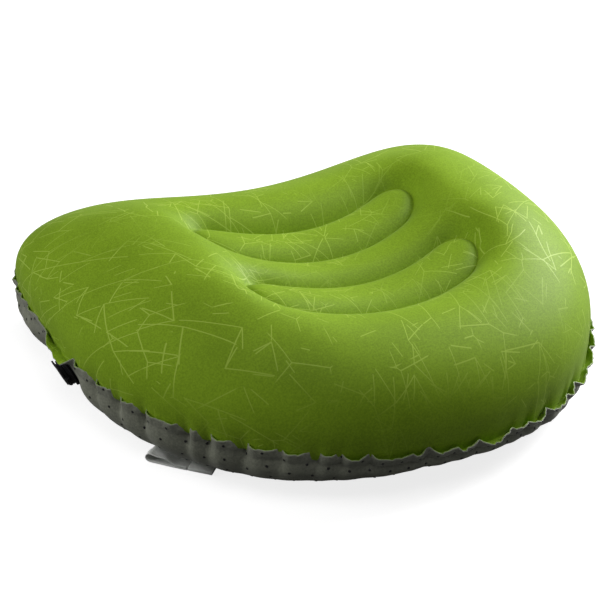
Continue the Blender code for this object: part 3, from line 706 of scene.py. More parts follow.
def swell(points, height, rise_limit, calm):
    """Bent places of the bulge, which leans out over the seam except where calm is 0."""
    lean = OVERHANG * np.sin(math.pi * np.minimum(height / rise_limit, 1))
    lean = lean * smooth_step(*SWELL_LEVELS, level(points)) * calm
    length = np.maximum(np.linalg.norm(points, axis=1), MM)
    return bend(points * (1 + lean / length)[:, None])


def cover_places(pattern, height, which, calm):
    """Places of a cover's inner face. The top rises from the seam and the underside sinks from it."""
    points, inset, arcs = pattern.points, pattern.inset, pattern.arc
    upward = 1 if which == "top" else -1
    rise_limit = OVERHANG_RISE if which == "top" else SEAM_HEIGHT
    flat = swell(points, height, rise_limit, calm)
    travelled = np.hypot(np.maximum(inset, 0), height)
    normal = np.stack([seam_table(BENT_NORMALS[:, k], arcs) for k in (0, 1)], axis=1)
    shift = pleat_shift(arcs, inset, height, PLEAT_REACH[which]) * calm
    flat = flat + normal * shift[:, None]
    z = SEAM_HEIGHT + upward * height
    z -= seam_table(SEAM_DROP, arcs) * np.exp(-travelled / SEAM_DROP_REACH[which]) * calm
    places = np.column_stack([flat, z])
    on_seam = np.zeros(SEAM_STEPS)
    seam_shift = pleat_shift(SEAM_ARCS, on_seam, on_seam, PLEAT_REACH[which])
    for number, step in enumerate(FLANGE_STEPS):
        ring = np.flatnonzero(np.isclose(inset, -step))
        index = np.rint(arcs[ring] / SEAM_LENGTH * SEAM_STEPS).astype(int) % SEAM_STEPS
        reach = (seam_shift[index] + EDGE_OUT[number, index])[:, None]
        places[ring, :2] = BENT_SEAM[index] + BENT_NORMALS[index] * reach
        places[ring, 2] = SEAM_HEIGHT - SEAM_DROP[index] + EDGE_UP[number, index]
    return places


def flat_pattern(pattern, height):
    """Where each point lay on the flat fabric before it was blown up: its place on the printed pattern."""
    inset = np.maximum(pattern.inset, 0)
    normal = np.stack([seam_table(SEAM_NORMALS[:, k], pattern.arc) for k in (0, 1)], axis=1)
    extra = (np.hypot(inset, height) - inset) * np.exp(-inset / FLAT_REACH)
    return pattern.points - normal * extra[:, None]


print("a pleat reaches", round(1000 * PLEAT_REACH["under"]), "mm down the underside")

# %% Cover mesh
COVERS = {}


def build_cover(name, pattern, places, printed, materials, hole=None, upward=True):
    """A cover's mesh, moved from its inner face to its outer face and given a thin wall."""
    _, source, triangles = triangulate(pattern.points, pattern.edges, hole)
    if not upward:
        triangles = triangles[:, ::-1]
    data = bpy.data.meshes.new(name)
    data.from_pydata(places[source].tolist(), [], triangles.tolist())
    layer = data.uv_layers.new(name="print")
    corner = np.empty(len(data.loops), int)
    data.loops.foreach_get("vertex_index", corner)
    layer.data.foreach_set("uv", printed[source][corner].astype(np.float32).ravel())
    normals = np.empty(len(source) * 3)
    data.vertices.foreach_get("normal", normals)
    inset = pattern.inset[source]
    skin = PLY_OFFSET + (PANEL_THICKNESS - PLY_OFFSET) * smooth_step(0, SKIN_GROWTH, inset)
    moved = places[source] + normals.reshape(-1, 3) * skin[:, None]
    moved[:, 2] = np.maximum(moved[:, 2], DOT_HEIGHT)
    data.vertices.foreach_set("co", moved.ravel())
    data.shade_smooth()
    for material in materials:
        data.materials.append(material)
    item = place_object(name, data)
    wall = item.modifiers.new("wall", "SOLIDIFY")
    wall.thickness = FABRIC_WALL
    wall.offset = -1
    wall.use_rim = True
    wall.material_offset_rim = 1
    print("  ", name, "has", len(triangles), "triangles")
    COVERS[name] = (moved, printed[source], triangles)
    return item


print("a cover's wall is", round(1000 * FABRIC_WALL, 2), "mm thick")

# %% [markdown]
# ## Cloth finishes
# The upper fabric is a green stretch knit with a film inside; straight tone-on-tone lines are printed on
# it, like broken glass. No picture is needed for such a print: in a Voronoi pattern every cell knows its
# own centre and a random colour, so straight lines at random angles from each centre, cut off at the
# cell's border, give loose shards. Several sizes laid over each other make the tangle. The effects are
# node groups, built once and shared.

# %% Shader group helpers
SOFT_EDGE = 0.35                          # a drawn line fades from this share of its half width


def new_group(name, inputs, outputs):
    """An empty shader node group with a Vector input, numbers in and numbers out."""
    group = bpy.data.node_groups.new(name, "ShaderNodeTree")
    group.interface.new_socket("Vector", in_out="INPUT", socket_type="NodeSocketVector")
    for label, value in inputs.items():
        socket = group.interface.new_socket(label, in_out="INPUT", socket_type="NodeSocketFloat")
        socket.default_value = value
    for label in outputs:
        group.interface.new_socket(label, in_out="OUTPUT", socket_type="NodeSocketFloat")
    given, result = group.nodes.new("NodeGroupInput"), group.nodes.new("NodeGroupOutput")
    return group, given.outputs, result.inputs


def use_group(tree, group, vector, **values):
    """Place a group in a tree with its Vector linked and its values set."""
    node = tree.nodes.new("ShaderNodeGroup")
    node.node_tree = group
    for socket, value in {"Vector": vector, **values}.items():
        feed(tree, node.inputs[socket], value)
    return node.outputs


def vector_node(tree, operation, *values):
    """The result of a Vector Math node. The second value of SCALE is its number."""
    sockets = (0, "Scale") if operation == "SCALE" else (0, 1)
    node = add_node(tree, "ShaderNodeVectorMath", dict(zip(sockets, values)), operation=operation)
    return node.outputs["Value" if operation in ("DOT_PRODUCT", "LENGTH") else "Vector"]


def ramp_node(tree, value, low, high, to_low=0.0, to_high=1.0):
    """A smooth Map Range."""
    values = {"Value": value, "From Min": low, "From Max": high, "To Min": to_low, "To Max": to_high}
    return add_node(tree, "ShaderNodeMapRange", values, interpolation_type="SMOOTHSTEP").outputs["Result"]


def object_place(tree):
    """The place of a shaded point on its own object."""
    return tree.nodes.new("ShaderNodeTexCoord").outputs["Object"]


def bump(tree, shader, height, strength, distance):
    """Let a height pattern tilt a shader's normals."""
    node = add_node(tree, "ShaderNodeBump", {"Height": height, "Strength": strength, "Distance": distance})
    feed(tree, shader.inputs["Normal"], node.outputs["Normal"])


print("group helpers are ready")


# %% Printed shards
SHARD_STROKES = ((0.0, 0.0, 0.35), (0.5, 1.6, 0.25))    # turn, random extra turn, shortest length in cells
LENGTH_SPREAD = 0.55
LINK_LENGTH = 9.0
LINK_SHARE = 0.6


def ray_mask(tree, apart, angle, length, scale, width):
    """A straight stroke from a cell's centre, 1 on it and 0 off it; length in cells, width in metres."""
    heading = {"X": math_node(tree, "COSINE", angle), "Y": math_node(tree, "SINE", angle)}
    along = add_node(tree, "ShaderNodeCombineXYZ", heading).outputs["Vector"]
    travelled = vector_node(tree, "DOT_PRODUCT", apart, along)
    travelled = math_node(tree, "MINIMUM", math_node(tree, "MAXIMUM", travelled, 0.0), length)
    off = vector_node(tree, "SUBTRACT", apart, vector_node(tree, "SCALE", along, travelled))
    off = math_node(tree, "DIVIDE", vector_node(tree, "LENGTH", off), scale)
    return ramp_node(tree, off, math_node(tree, "MULTIPLY", width, SOFT_EDGE), width, 1.0, 0.0)


def make_shard_lines():
    """Sharp corners: each Voronoi centre sends out two strokes and is sometimes linked to its neighbour."""
    numbers = {"Scale": 30.0, "Shift": 0.0, "Width": 0.0004, "Share": 0.7}
    group, given, result = new_group("shard_lines", numbers, ("Mask",))
    scale, width = given["Scale"], given["Width"]
    shift = add_node(group, "ShaderNodeCombineXYZ", {"X": given["Shift"], "Y": given["Shift"]})
    scaled = vector_node(group, "SCALE", given["Vector"], scale)
    place = vector_node(group, "ADD", scaled, shift.outputs["Vector"])
    centres, dice = [], []
    for feature in ("F1", "F2"):
        cells = add_node(group, "ShaderNodeTexVoronoi", {"Vector": place, "Scale": 1.0},
                         voronoi_dimensions="2D", feature=feature).outputs
        centres.append(cells["Position"])
        dice.append(add_node(group, "ShaderNodeSeparateColor", {"Color": cells["Color"]}).outputs)
    own, other = dice
    apart = vector_node(group, "SUBTRACT", place, centres[0])
    turn = math_node(group, "MULTIPLY", own["Green"], 2 * math.pi)
    strokes = []
    for start, swing, shortest in SHARD_STROKES:
        bent = math_node(group, "ADD", math_node(group, "MULTIPLY", own["Red"], swing), start)
        angle = math_node(group, "ADD", turn, bent)
        length = math_node(group, "ADD", math_node(group, "MULTIPLY", own["Blue"], LENGTH_SPREAD), shortest)
        strokes.append(ray_mask(group, apart, angle, length, scale, width))
    link = vector_node(group, "SUBTRACT", centres[1], centres[0])
    link = add_node(group, "ShaderNodeSeparateXYZ", {"Vector": link}).outputs
    heading = math_node(group, "ARCTAN2", link["Y"], link["X"])
    linked = ray_mask(group, apart, heading, LINK_LENGTH, scale, width)
    pair = math_node(group, "MULTIPLY", math_node(group, "ADD", own["Blue"], other["Blue"]), 7.0)
    chosen = math_node(group, "LESS_THAN", math_node(group, "FRACT", pair), LINK_SHARE)
    linked = math_node(group, "MULTIPLY", linked, chosen)
    drawn = math_node(group, "MAXIMUM", math_node(group, "MAXIMUM", *strokes), linked)
    shown = math_node(group, "LESS_THAN", own["Red"], given["Share"])
    feed(group, result["Mask"], math_node(group, "MULTIPLY", drawn, shown))
    return group


SHARD_LINES = make_shard_lines()
print("shard lines:", len(SHARD_LINES.nodes), "nodes")


# %% Printed cracks
def make_crack_lines():
    """Straight borders between Voronoi cells, drawn in patches. Scale is cells per metre."""
    numbers = {"Scale": 20.0, "Width": 0.0004, "Share": 0.5}
    group, given, result = new_group("crack_lines", numbers, ("Mask",))
    place, scale, width = given["Vector"], given["Scale"], given["Width"]
    cells = add_node(group, "ShaderNodeTexVoronoi", voronoi_dimensions="2D", feature="DISTANCE_TO_EDGE")
    feed(group, cells.inputs["Vector"], place)
    feed(group, cells.inputs["Scale"], scale)
    distance = math_node(group, "DIVIDE", cells.outputs["Distance"], scale)
    line = ramp_node(group, distance, math_node(group, "MULTIPLY", width, SOFT_EDGE), width, 1.0, 0.0)
    values = {"Vector": place, "Scale": math_node(group, "MULTIPLY", scale, 0.9), "Detail": 1.0}
    patchy = add_node(group, "ShaderNodeTexNoise", values, noise_dimensions="2D").outputs["Fac"]
    limit = math_node(group, "SUBTRACT", 1.0, given["Share"])
    shown = ramp_node(group, patchy, limit, math_node(group, "ADD", limit, 0.04))
    feed(group, result["Mask"], math_node(group, "MULTIPLY", line, shown))
    return group


CRACK_LINES = make_crack_lines()
print("crack lines:", len(CRACK_LINES.nodes), "nodes")

# %% Fabric grain
THREAD_WEIGHTS = (("X", 0.5), ("Y", 0.35))
BANDS_PER_THREAD = 0.35
FUZZ_SHARE = 0.72
SLOW_SCALE = 22.0


def make_fabric_grain():
    """The fine knit of a stretch fabric: threads, fuzz and slow shade changes, for bump and colour."""
    group, given, result = new_group("fabric_grain", {"Threads": 1400.0, "Fuzz": 900.0}, ("Height", "Shade"))
    place = given["Vector"]
    bands = math_node(group, "MULTIPLY", given["Threads"], BANDS_PER_THREAD)
    values = {"Vector": place, "Scale": bands, "Distortion": 1.5, "Detail": 1.0, "Detail Scale": 2.0}
    heights = []
    for axis, weight in THREAD_WEIGHTS:
        wave = add_node(group, "ShaderNodeTexWave", values, bands_direction=axis).outputs["Fac"]
        heights.append(math_node(group, "MULTIPLY", wave, weight))
    values = {"Vector": place, "Scale": given["Fuzz"], "Detail": 3.0, "Roughness": 0.6}
    fuzz = add_node(group, "ShaderNodeTexNoise", values).outputs["Fac"]
    feed(group, result["Height"], math_node(group, "ADD", math_node(group, "ADD", *heights), fuzz))
    values = {"Vector": place, "Scale": SLOW_SCALE, "Detail": 2.0}
    slow = add_node(group, "ShaderNodeTexNoise", values).outputs["Fac"]
    parts = [math_node(group, "MULTIPLY", *part) for part in ((fuzz, FUZZ_SHARE), (slow, 1 - FUZZ_SHARE))]
    feed(group, result["Shade"], math_node(group, "ADD", *parts))
    return group


FABRIC_GRAIN = make_fabric_grain()
print("fabric grain:", len(FABRIC_GRAIN.nodes), "nodes")

# %% Green printed fabric
GREEN = (0.225, 0.365, 0.018)
GREEN_DEEP = (0.155, 0.260, 0.011)
GREEN_PRINT = (0.330, 0.470, 0.060)


GREEN_ROUGHNESS = 0.56
PRINT_ROUGHNESS = 0.40
SHARD_LAYERS = ((32, 0.0, 0.9), (42, 7.3, 0.7), (27, 11.7, 0.8))    # cells per metre, shift, share drawn
SHARD_WIDTH = 0.00034
CRACK_LAYERS = ((29, 0.50), (47, 0.46))                             # cells per metre, share drawn
CRACK_WIDTH = 0.00030
PATCH_SCALE = 9.0


def make_green_fabric():
    """Green knit with the printed lines, denser in some patches than in others."""
    material, tree, shader = new_material("green_printed_fabric", GREEN, GREEN_ROUGHNESS, Sheen_Weight=0.04,
                                          Sheen_Roughness=0.35, Specular_IOR_Level=0.10)
    uv = add_node(tree, "ShaderNodeUVMap", uv_map="print").outputs["UV"]
    layers = [use_group(tree, SHARD_LINES, uv, Scale=scale, Shift=shift, Width=SHARD_WIDTH, Share=share)
              for scale, shift, share in SHARD_LAYERS]
    layers += [use_group(tree, CRACK_LINES, uv, Scale=scale, Width=CRACK_WIDTH, Share=share)
               for scale, share in CRACK_LAYERS]
    mask = layers[0]["Mask"]
    for other in layers[1:]:
        mask = math_node(tree, "MAXIMUM", mask, other["Mask"])
    values = {"Vector": uv, "Scale": PATCH_SCALE, "Detail": 1.0}
    patches = add_node(tree, "ShaderNodeTexNoise", values, noise_dimensions="2D").outputs["Fac"]
    printed = math_node(tree, "MULTIPLY", mask, ramp_node(tree, patches, 0.40, 0.56, 0.12, 1.0))
    grain = use_group(tree, FABRIC_GRAIN, object_place(tree))
    ground = mix_colors(tree, ramp_node(tree, grain["Shade"], 0.33, 0.66), GREEN_DEEP, GREEN)
    feed(tree, shader.inputs["Base Color"], mix_colors(tree, printed, ground, GREEN_PRINT))
    roughness = ramp_node(tree, printed, 0.0, 1.0, GREEN_ROUGHNESS, PRINT_ROUGHNESS)
    feed(tree, shader.inputs["Roughness"], roughness)
    bump(tree, shader, grain["Height"], 0.10, 0.0002)
    return material


def make_cut_edge(name, color):
    """The cut rim of a fabric, where its pale film shows."""
    material, tree, shader = new_material(name, color, 0.5)
    grain = use_group(tree, FABRIC_GRAIN, object_place(tree), Fuzz=600.0)
    dark = tuple(channel * 0.6 for channel in color)
    shade = ramp_node(tree, grain["Shade"], 0.3, 0.7)
    feed(tree, shader.inputs["Base Color"], mix_colors(tree, shade, dark, color))
    return material


GREEN_FABRIC = make_green_fabric()
GREEN_EDGE = make_cut_edge("green_cut_edge", (0.33, 0.47, 0.12))
print("green fabric has", len(SHARD_LAYERS) + len(CRACK_LAYERS), "layers of printed lines")

# %% [markdown]
# ## The green cover
# The upper panel is the part that everyone sees. It gets the fine mesh, the pleats at its edge and the
# print. Beside the welds the fabric bulges up steeply, and a low ridge stands past the ends of both loops.

# %% Green cover
LOOP_SPACING_FINE = 2.2 * MM
BULGE_RISE = 3.0 * MM
BULGE_START = 12 * MM
BULGE_STEEP = 5 * MM
BULGE_REACH = 26 * MM
RIDGE_RISE = 4.5 * MM
RIDGE_PLACE = 98 * MM
RIDGE_WIDTH = 17 * MM
RIDGE_OUTER_WIDTH = 42 * MM
RIDGE_START = (60 * MM, 84 * MM)
RIDGE_ENDS = (45 * MM, 95 * MM)


def quilted(points, height):
    """Height with the fabric bulging up steeply on both sides of the weld loops."""
    rings = np.concatenate([loop_ring(side, LOOP_SPACING_FINE) for side in (1, -1)])
    distance = nearest(points, rings)[0]
    distance = np.maximum(distance - LOOP_SPACING_FINE / 2, 0)
    bulge = BULGE_RISE * np.exp(-(distance / BULGE_REACH) ** 2) * smooth_step(0, BULGE_START, height)
    across, along = abs(points[:, 0]), abs(points[:, 1])
    width = np.where(across > RIDGE_PLACE, RIDGE_OUTER_WIDTH, RIDGE_WIDTH)
    beyond = np.exp(-((across - RIDGE_PLACE) / width) ** 2) * smooth_step(*RIDGE_START, across)
    bulge += RIDGE_RISE * beyond * (1 - smooth_step(*RIDGE_ENDS, along))
    return height + bulge * (1 - np.exp(-distance / BULGE_STEEP))


def make_top_cover():
    """The upper panel with its welds, bulges, pleats and curled edge."""
    rings = [loop_ring(side, LOOP_SPACING_FINE) for side in (1, -1)]
    pattern = cut_pattern([(ring, list(weld_rise(ring))) for ring in rings], [])
    height = inflate(pattern, TOP_GAIN)
    points = pattern.points
    height = height * (1 - BACK_SADDLE * roll_middle(points) * (points[:, 1] > 0))
    height = quilted(points, height)
    places = cover_places(pattern, height, "top", 1.0)
    printed = flat_pattern(pattern, height)
    return build_cover("top_cover", pattern, places, printed, (GREEN_FABRIC, GREEN_EDGE))


top_cover = make_top_cover()
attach(top_cover, "pillow")
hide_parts("top_panel")
print("green cover is up")

# %% [markdown]
# ## Grey grip fabric
# The underside is a grey fabric of the same knit without a print. It shares the grain group, with coarser
# threads and stronger shade changes, so both fabrics look related but not alike.

# %% Grey fabric
GREY = (0.235, 0.245, 0.188)
GREY_DEEP = (0.150, 0.158, 0.122)


def make_grey_fabric():
    """Grey knit whose colour and roughness follow the grain."""
    material, tree, shader = new_material("grey_grip_fabric", GREY, 0.55, Sheen_Weight=0.1,
                                          Sheen_Roughness=0.5, Specular_IOR_Level=0.35)
    grain = use_group(tree, FABRIC_GRAIN, object_place(tree), Threads=1100.0, Fuzz=700.0)
    shade = ramp_node(tree, grain["Shade"], 0.32, 0.68)
    feed(tree, shader.inputs["Base Color"], mix_colors(tree, shade, GREY_DEEP, GREY))
    feed(tree, shader.inputs["Roughness"], ramp_node(tree, grain["Shade"], 0.3, 0.7, 0.5, 0.62))
    bump(tree, shader, grain["Height"], 0.12, 0.0002)
    return material


GREY_FABRIC = make_grey_fabric()
GREY_EDGE = make_cut_edge("grey_cut_edge", (0.34, 0.36, 0.31))
print("grey fabric:", GREY_FABRIC.name)

# %% [markdown]
# ## The grey underside
# The lower panel is shallower. It lies flat on the ground under both lobes, flat under the valve's patch,
# and it clears the ribbons. Those fittings come from the model's own sizes.

# %% Fittings' frames
VALVE_ANGLE = math.radians(188)
VALVE_INSET = 7.5 * MM
VALVE_HEIGHT = 18.5 * MM
VALVE_TILT = math.radians(25)
PATCH_HALF_LENGTH = 30 * MM
PATCH_HALF_HEIGHT = 12.5 * MM
PATCH_MARGIN = 1.2 * MM
NECK_RADIUS = 9.6 * MM
FIT = 0.3 * MM
RIBBON_WIDTH = 12 * MM
RIBBON_REACH = 24 * MM
ANCHOR_LENGTH = 16 * MM
ANCHOR_THICKNESS = 2.2 * MM
ANCHOR_PLACE = (132 * MM, -76 * MM)
RIBBON_HEADING = math.radians(135)
ANCHOR_TOP = GAP + ANCHOR_THICKNESS + GAP
ROOF_LENGTH = 14 * MM
ROOF_SLOPE = 0.45
ROOF_FALL = 0.8
AHEAD = 0.02                              # radians


def valve_frame():
    """Matrix of the valve: X along the seam to the front, Y up the slope, Z out of the panel."""
    seam, ahead = bend(superellipse(np.array([VALVE_ANGLE, VALVE_ANGLE + AHEAD])))
    along = Vector(ahead - seam).normalized()
    outward = Vector((along.y, -along.x))
    middle = Vector(seam) - outward * VALVE_INSET
    x_axis = Vector((along.x, along.y, 0))
    level_share = math.cos(VALVE_TILT)
    z_axis = Vector((outward.x * level_share, outward.y * level_share, -math.sin(VALVE_TILT)))
    place = Matrix((x_axis, z_axis.cross(x_axis), z_axis)).transposed().to_4x4()
    place.translation = Vector((middle.x, middle.y, VALVE_HEIGHT))
    return place


def anchor_frame(side):
    """Matrix of a ribbon's anchor: X along the ribbon, Z up, on the ground; side is -1 left and 1 right."""
    heading = Vector((-side * math.cos(RIBBON_HEADING), math.sin(RIBBON_HEADING), 0))
    up = Vector((0, 0, 1))
    place = Matrix((heading, up.cross(heading), up)).transposed().to_4x4()
    place.translation = Vector((side * ANCHOR_PLACE[0], ANCHOR_PLACE[1], 0))
    return place


def plane_ring(place, outline, height=0.0):
    """Straight plan points and heights of an outline drawn in a frame's XY plane."""
    placed = np.array([tuple(place @ Vector((x, y, height))) for x, y in outline])
    return unbend(placed[:, :2]), placed[:, 2]


def oval(half_length, half_height, steps):
    """Points round an oval."""
    turns = 2 * math.pi * np.arange(steps) / steps
    return np.stack([half_length * np.cos(turns), half_height * np.sin(turns)], axis=1)


def ribbon_clearance(places):
    """Least height of the fabric over the ribbons and their anchors."""
    lowest = np.full(len(places), PANEL_THICKNESS)
    back = ANCHOR_LENGTH / 2 + PATCH_MARGIN
    half = RIBBON_WIDTH / 2 + PATCH_MARGIN
    for side in (-1, 1):
        turned = np.array(anchor_frame(side).inverted())
        local = places[:, :2] @ turned[:2, :2].T + turned[:2, 3]
        ahead = np.clip(local[:, 0], -back, back + RIBBON_REACH)
        outside = np.hypot(local[:, 0] - ahead, np.maximum(abs(local[:, 1]) - half, 0))
        roof = ANCHOR_TOP + PANEL_THICKNESS + ROOF_SLOPE * np.clip(ahead - back, 0, ROOF_LENGTH)
        lowest = np.maximum(lowest, roof - ROOF_FALL * outside)
    return lowest


print("the valve stands at", [round(value, 3) for value in valve_frame().translation])


# %% Grey cover
def make_bottom_cover():
    """The lower panel with its welds, the valve's hole and flat, and its pleated edge."""
    patch = oval(PATCH_HALF_LENGTH + PATCH_MARGIN, PATCH_HALF_HEIGHT + PATCH_MARGIN, steps=64)
    neck = oval(NECK_RADIUS + FIT, NECK_RADIUS + FIT, steps=48)
    rings = [loop_ring(side, LOOP_SPACING_FINE) for side in (1, -1)]
    welds = [(ring, [WELD_SINK] * len(ring)) for ring in rings]
    flats = []
    for outline in (patch, neck):
        ring, z = plane_ring(valve_frame(), outline, -PANEL_THICKNESS)
        flats.append((ring, list(SEAM_HEIGHT - z)))
    hole = flats[1][0]
    pattern = cut_pattern(welds, flats)
    depth = inflate(pattern, UNDER_GAIN, hole)
    points, flat = pattern.points, pattern.flat
    depth = np.where(flat, depth, depth * (1 - UNDER_ARCH * roll_middle(points)))
    calm = smooth_step(0, FLAT_BLEND, nearest(points, flats[0][0])[0])
    calm = np.where(flat, 0, calm)
    places = cover_places(pattern, depth, "under", calm)
    floor_height = np.where(flat | (pattern.inset <= 0), -1, ribbon_clearance(places))
    places[:, 2] = np.maximum(places[:, 2], floor_height)
    printed = flat_pattern(pattern, depth)
    finishes = (GREY_FABRIC, GREY_EDGE)
    return build_cover("bottom_cover", pattern, places, printed, finishes, hole, upward=False)


bottom_cover = make_bottom_cover()
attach(bottom_cover, "pillow")
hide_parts("bottom_panel")
print("grey cover is up")

# %% [markdown]
# ## Grip dots
# Little silicone domes keep the underside from sliding on a sleeping mat. They were printed on the flat
# fabric, so they are laid out on its flat pattern, in staggered rows, and each is then carried to the
# spot where that point of the fabric went. A dot is a small cone with its top cut off, because there are
# hundreds of them.

# %% Rubber finish
FINISH_SWING = 0.06
FINE_SCALE = 2500.0


def plain_finish(name, color, roughness, vary=0.35, scale=60.0, **sockets):
    """Rubber or plastic with slow changes of shade and a very fine grain."""
    material, tree, shader = new_material(name, color, roughness, **sockets)
    place = object_place(tree)
    noise = add_node(tree, "ShaderNodeTexNoise", {"Vector": place, "Scale": scale, "Detail": 3.0})
    shade = ramp_node(tree, noise.outputs["Fac"], 0.3, 0.7)
    dark = tuple(channel * (1 - vary) for channel in color)
    feed(tree, shader.inputs["Base Color"], mix_colors(tree, shade, dark, color))
    swung = ramp_node(tree, shade, 0.0, 1.0, roughness - FINISH_SWING, roughness + FINISH_SWING)
    feed(tree, shader.inputs["Roughness"], swung)
    fine = add_node(tree, "ShaderNodeTexNoise", {"Vector": place, "Scale": FINE_SCALE, "Detail": 2.0})
    bump(tree, shader, fine.outputs["Fac"], 0.05, 0.0002)
    return material


DOT_SILICONE = plain_finish("black_silicone", (0.012, 0.012, 0.012), 0.35)
print("rubber finish:", DOT_SILICONE.name)

# %% Grip dots
DOT_RADIUS = 1.0 * MM
DOT_TOP = 0.6                             # share of the radius
DOT_SINK = 0.02 * MM
DOT_PITCH = 11.5 * MM
DOT_ROW = 9.0 * MM
DOT_SIDES = 8
VALVE_CLEAR = (33 * MM, 15.5 * MM, 4 * MM)


def make_dots():
    """One mesh of all the dots, each on the spot where its place on the flat fabric went."""
    places, printed, triangles = COVERS["bottom_cover"]
    flat = [(float(u), float(v), 0.0) for u, v in printed]
    tree = BVHTree.FromPolygons(flat, triangles.tolist())
    valve = valve_frame().inverted()
    dots = bmesh.new()
    rows = int(HALF_DEPTH / DOT_ROW) + 2
    columns = int(HALF_WIDTH / DOT_PITCH) + 2
    for row in range(-rows, rows + 1):
        for column in range(-columns, columns + 1):
            start = Vector(((column + 0.5 * (row % 2)) * DOT_PITCH, row * DOT_ROW, 1.0))
            hit, _, index, _ = tree.ray_cast(start, Vector((0, 0, -1)))
            if hit is None:
                continue
            corners = [Vector(places[corner]) for corner in triangles[index]]
            flats = [Vector(flat[corner]) for corner in triangles[index]]
            place = barycentric_transform(hit, *flats, *corners)
            local = valve @ place
            beside = (local.x / VALVE_CLEAR[0]) ** 2 + (local.y / VALVE_CLEAR[1]) ** 2
            if beside < 1 and abs(local.z) < VALVE_CLEAR[2]:
                continue
            normal = (corners[1] - corners[0]).cross(corners[2] - corners[0]).normalized()
            turn = normal.to_track_quat("Z", "Y").to_matrix().to_4x4()
            middle = Matrix.Translation(place + normal * (DOT_HEIGHT / 2 - DOT_SINK))
            bmesh.ops.create_cone(dots, cap_ends=True, segments=DOT_SIDES, radius1=DOT_RADIUS,
                                  radius2=DOT_TOP * DOT_RADIUS, depth=DOT_HEIGHT, matrix=middle @ turn)
    data = mesh_from("grip_dots", dots)
    data.materials.append(DOT_SILICONE)
    print("  ", len(data.polygons) // (DOT_SIDES + 2), "dots")
    return place_object("grip_dots", data)


grip_dots = make_dots()
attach(grip_dots, "pillow")

# %% [markdown]
# ## Ribbon loops
# A short grey ribbon is folded over and held by a small patch under each front corner. Its two plies open
# into an eye at the fold. The ribbon is one long strip of fine mesh, bent along a drawn path and given
# its thickness afterwards, with a slight twist and a few waves, because no sewn ribbon lies straight.

# %% Ribbon finish
RIBBON_GREY = (0.80, 0.82, 0.79)
RIBBON_DARK = (0.70, 0.72, 0.68)
RIBBON_LIGHT = (0.92, 0.94, 0.91)
WEAVE_BANDS = (("X", 330.0), ("Y", 420.0))


def make_ribbon_finish():
    """A woven ribbon: crossing bands along its own length and width, with the shared grain in its colour."""
    material, tree, shader = new_material("grey_woven_ribbon", RIBBON_GREY, 0.6, Sheen_Weight=0.15,
                                          Sheen_Roughness=0.4, Specular_IOR_Level=0.3)
    uv = add_node(tree, "ShaderNodeUVMap", uv_map="weave").outputs["UV"]
    waves = []
    for axis, scale in WEAVE_BANDS:
        values = {"Vector": uv, "Scale": scale, "Distortion": 0.6, "Detail": 1.0}
        waves.append(add_node(tree, "ShaderNodeTexWave", values, bands_direction=axis).outputs["Fac"])
    weave = math_node(tree, "MULTIPLY", *waves)
    grain = use_group(tree, FABRIC_GRAIN, object_place(tree), Fuzz=500.0)
    grain_shade = math_node(tree, "MULTIPLY", grain["Shade"], 0.7)
    shade = math_node(tree, "ADD", math_node(tree, "MULTIPLY", weave, 0.5), grain_shade)
    shade = ramp_node(tree, shade, 0.2, 0.75)
    feed(tree, shader.inputs["Base Color"], mix_colors(tree, shade, RIBBON_DARK, RIBBON_LIGHT))
    bump(tree, shader, weave, 0.35, 0.0003)
    return material


RIBBON_FINISH = make_ribbon_finish()
RIBBON_THICKNESS = 0.8 * MM
EYE_HEIGHT = 5.4 * MM
PLY_GAP = 0.2 * MM
RIBBON_START = ANCHOR_LENGTH / 2 + GAP
RIBBON_LOW = GAP + RIBBON_THICKNESS / 2
print("ribbon finish:", RIBBON_FINISH.name)

# %% Ribbon loops
RIBBON_STEPS = 72
RIBBON_LANES = 12
FOLD_STEPS = 12
RIBBON_WALL = 0.55 * MM
RIBBON_SKEW = 2.2 * MM
CRUMPLES = ((0.5 * MM, 14, 4), (0.3 * MM, 27, -7))    # height, waves along and across, in radians
END_WAVE = (0.4 * MM, 9)
SIDE_WAVE = (0.6 * MM, 6)
NARROWING = 0.05


def ribbon_path():
    """(x, z) points down one ply of a ribbon, round the fold and back, in its anchor's frame."""
    low = RIBBON_LOW
    high = low + EYE_HEIGHT + RIBBON_THICKNESS
    shut = low + RIBBON_THICKNESS + PLY_GAP
    fold = RIBBON_START + RIBBON_REACH
    radius = (high - low) / 2
    path = [(RIBBON_START, low), (RIBBON_START + 0.4 * RIBBON_REACH, low), (fold, low)]
    for step in range(1, FOLD_STEPS):
        turn = math.pi * (step / FOLD_STEPS - 0.5)
        path.append((fold + radius * math.cos(turn), low + radius + radius * math.sin(turn)))
    path += [(fold, high), (RIBBON_START + 0.6 * RIBBON_REACH, low + 0.72 * (high - low)),
             (RIBBON_START + 0.3 * RIBBON_REACH, shut + 3 * PLY_GAP), (RIBBON_START, shut)]
    path = np.array(path)
    travelled = np.concatenate([[0], np.cumsum(np.linalg.norm(np.diff(path, axis=0), axis=1))])
    stops = np.linspace(0, travelled[-1], RIBBON_STEPS + 1)
    even = np.stack([np.interp(stops, travelled, path[:, k]) for k in (0, 1)], axis=1)
    for _ in range(2):
        even[1:-1] = (even[:-2] + 2 * even[1:-1] + even[2:]) / 4
    return even, travelled[-1]


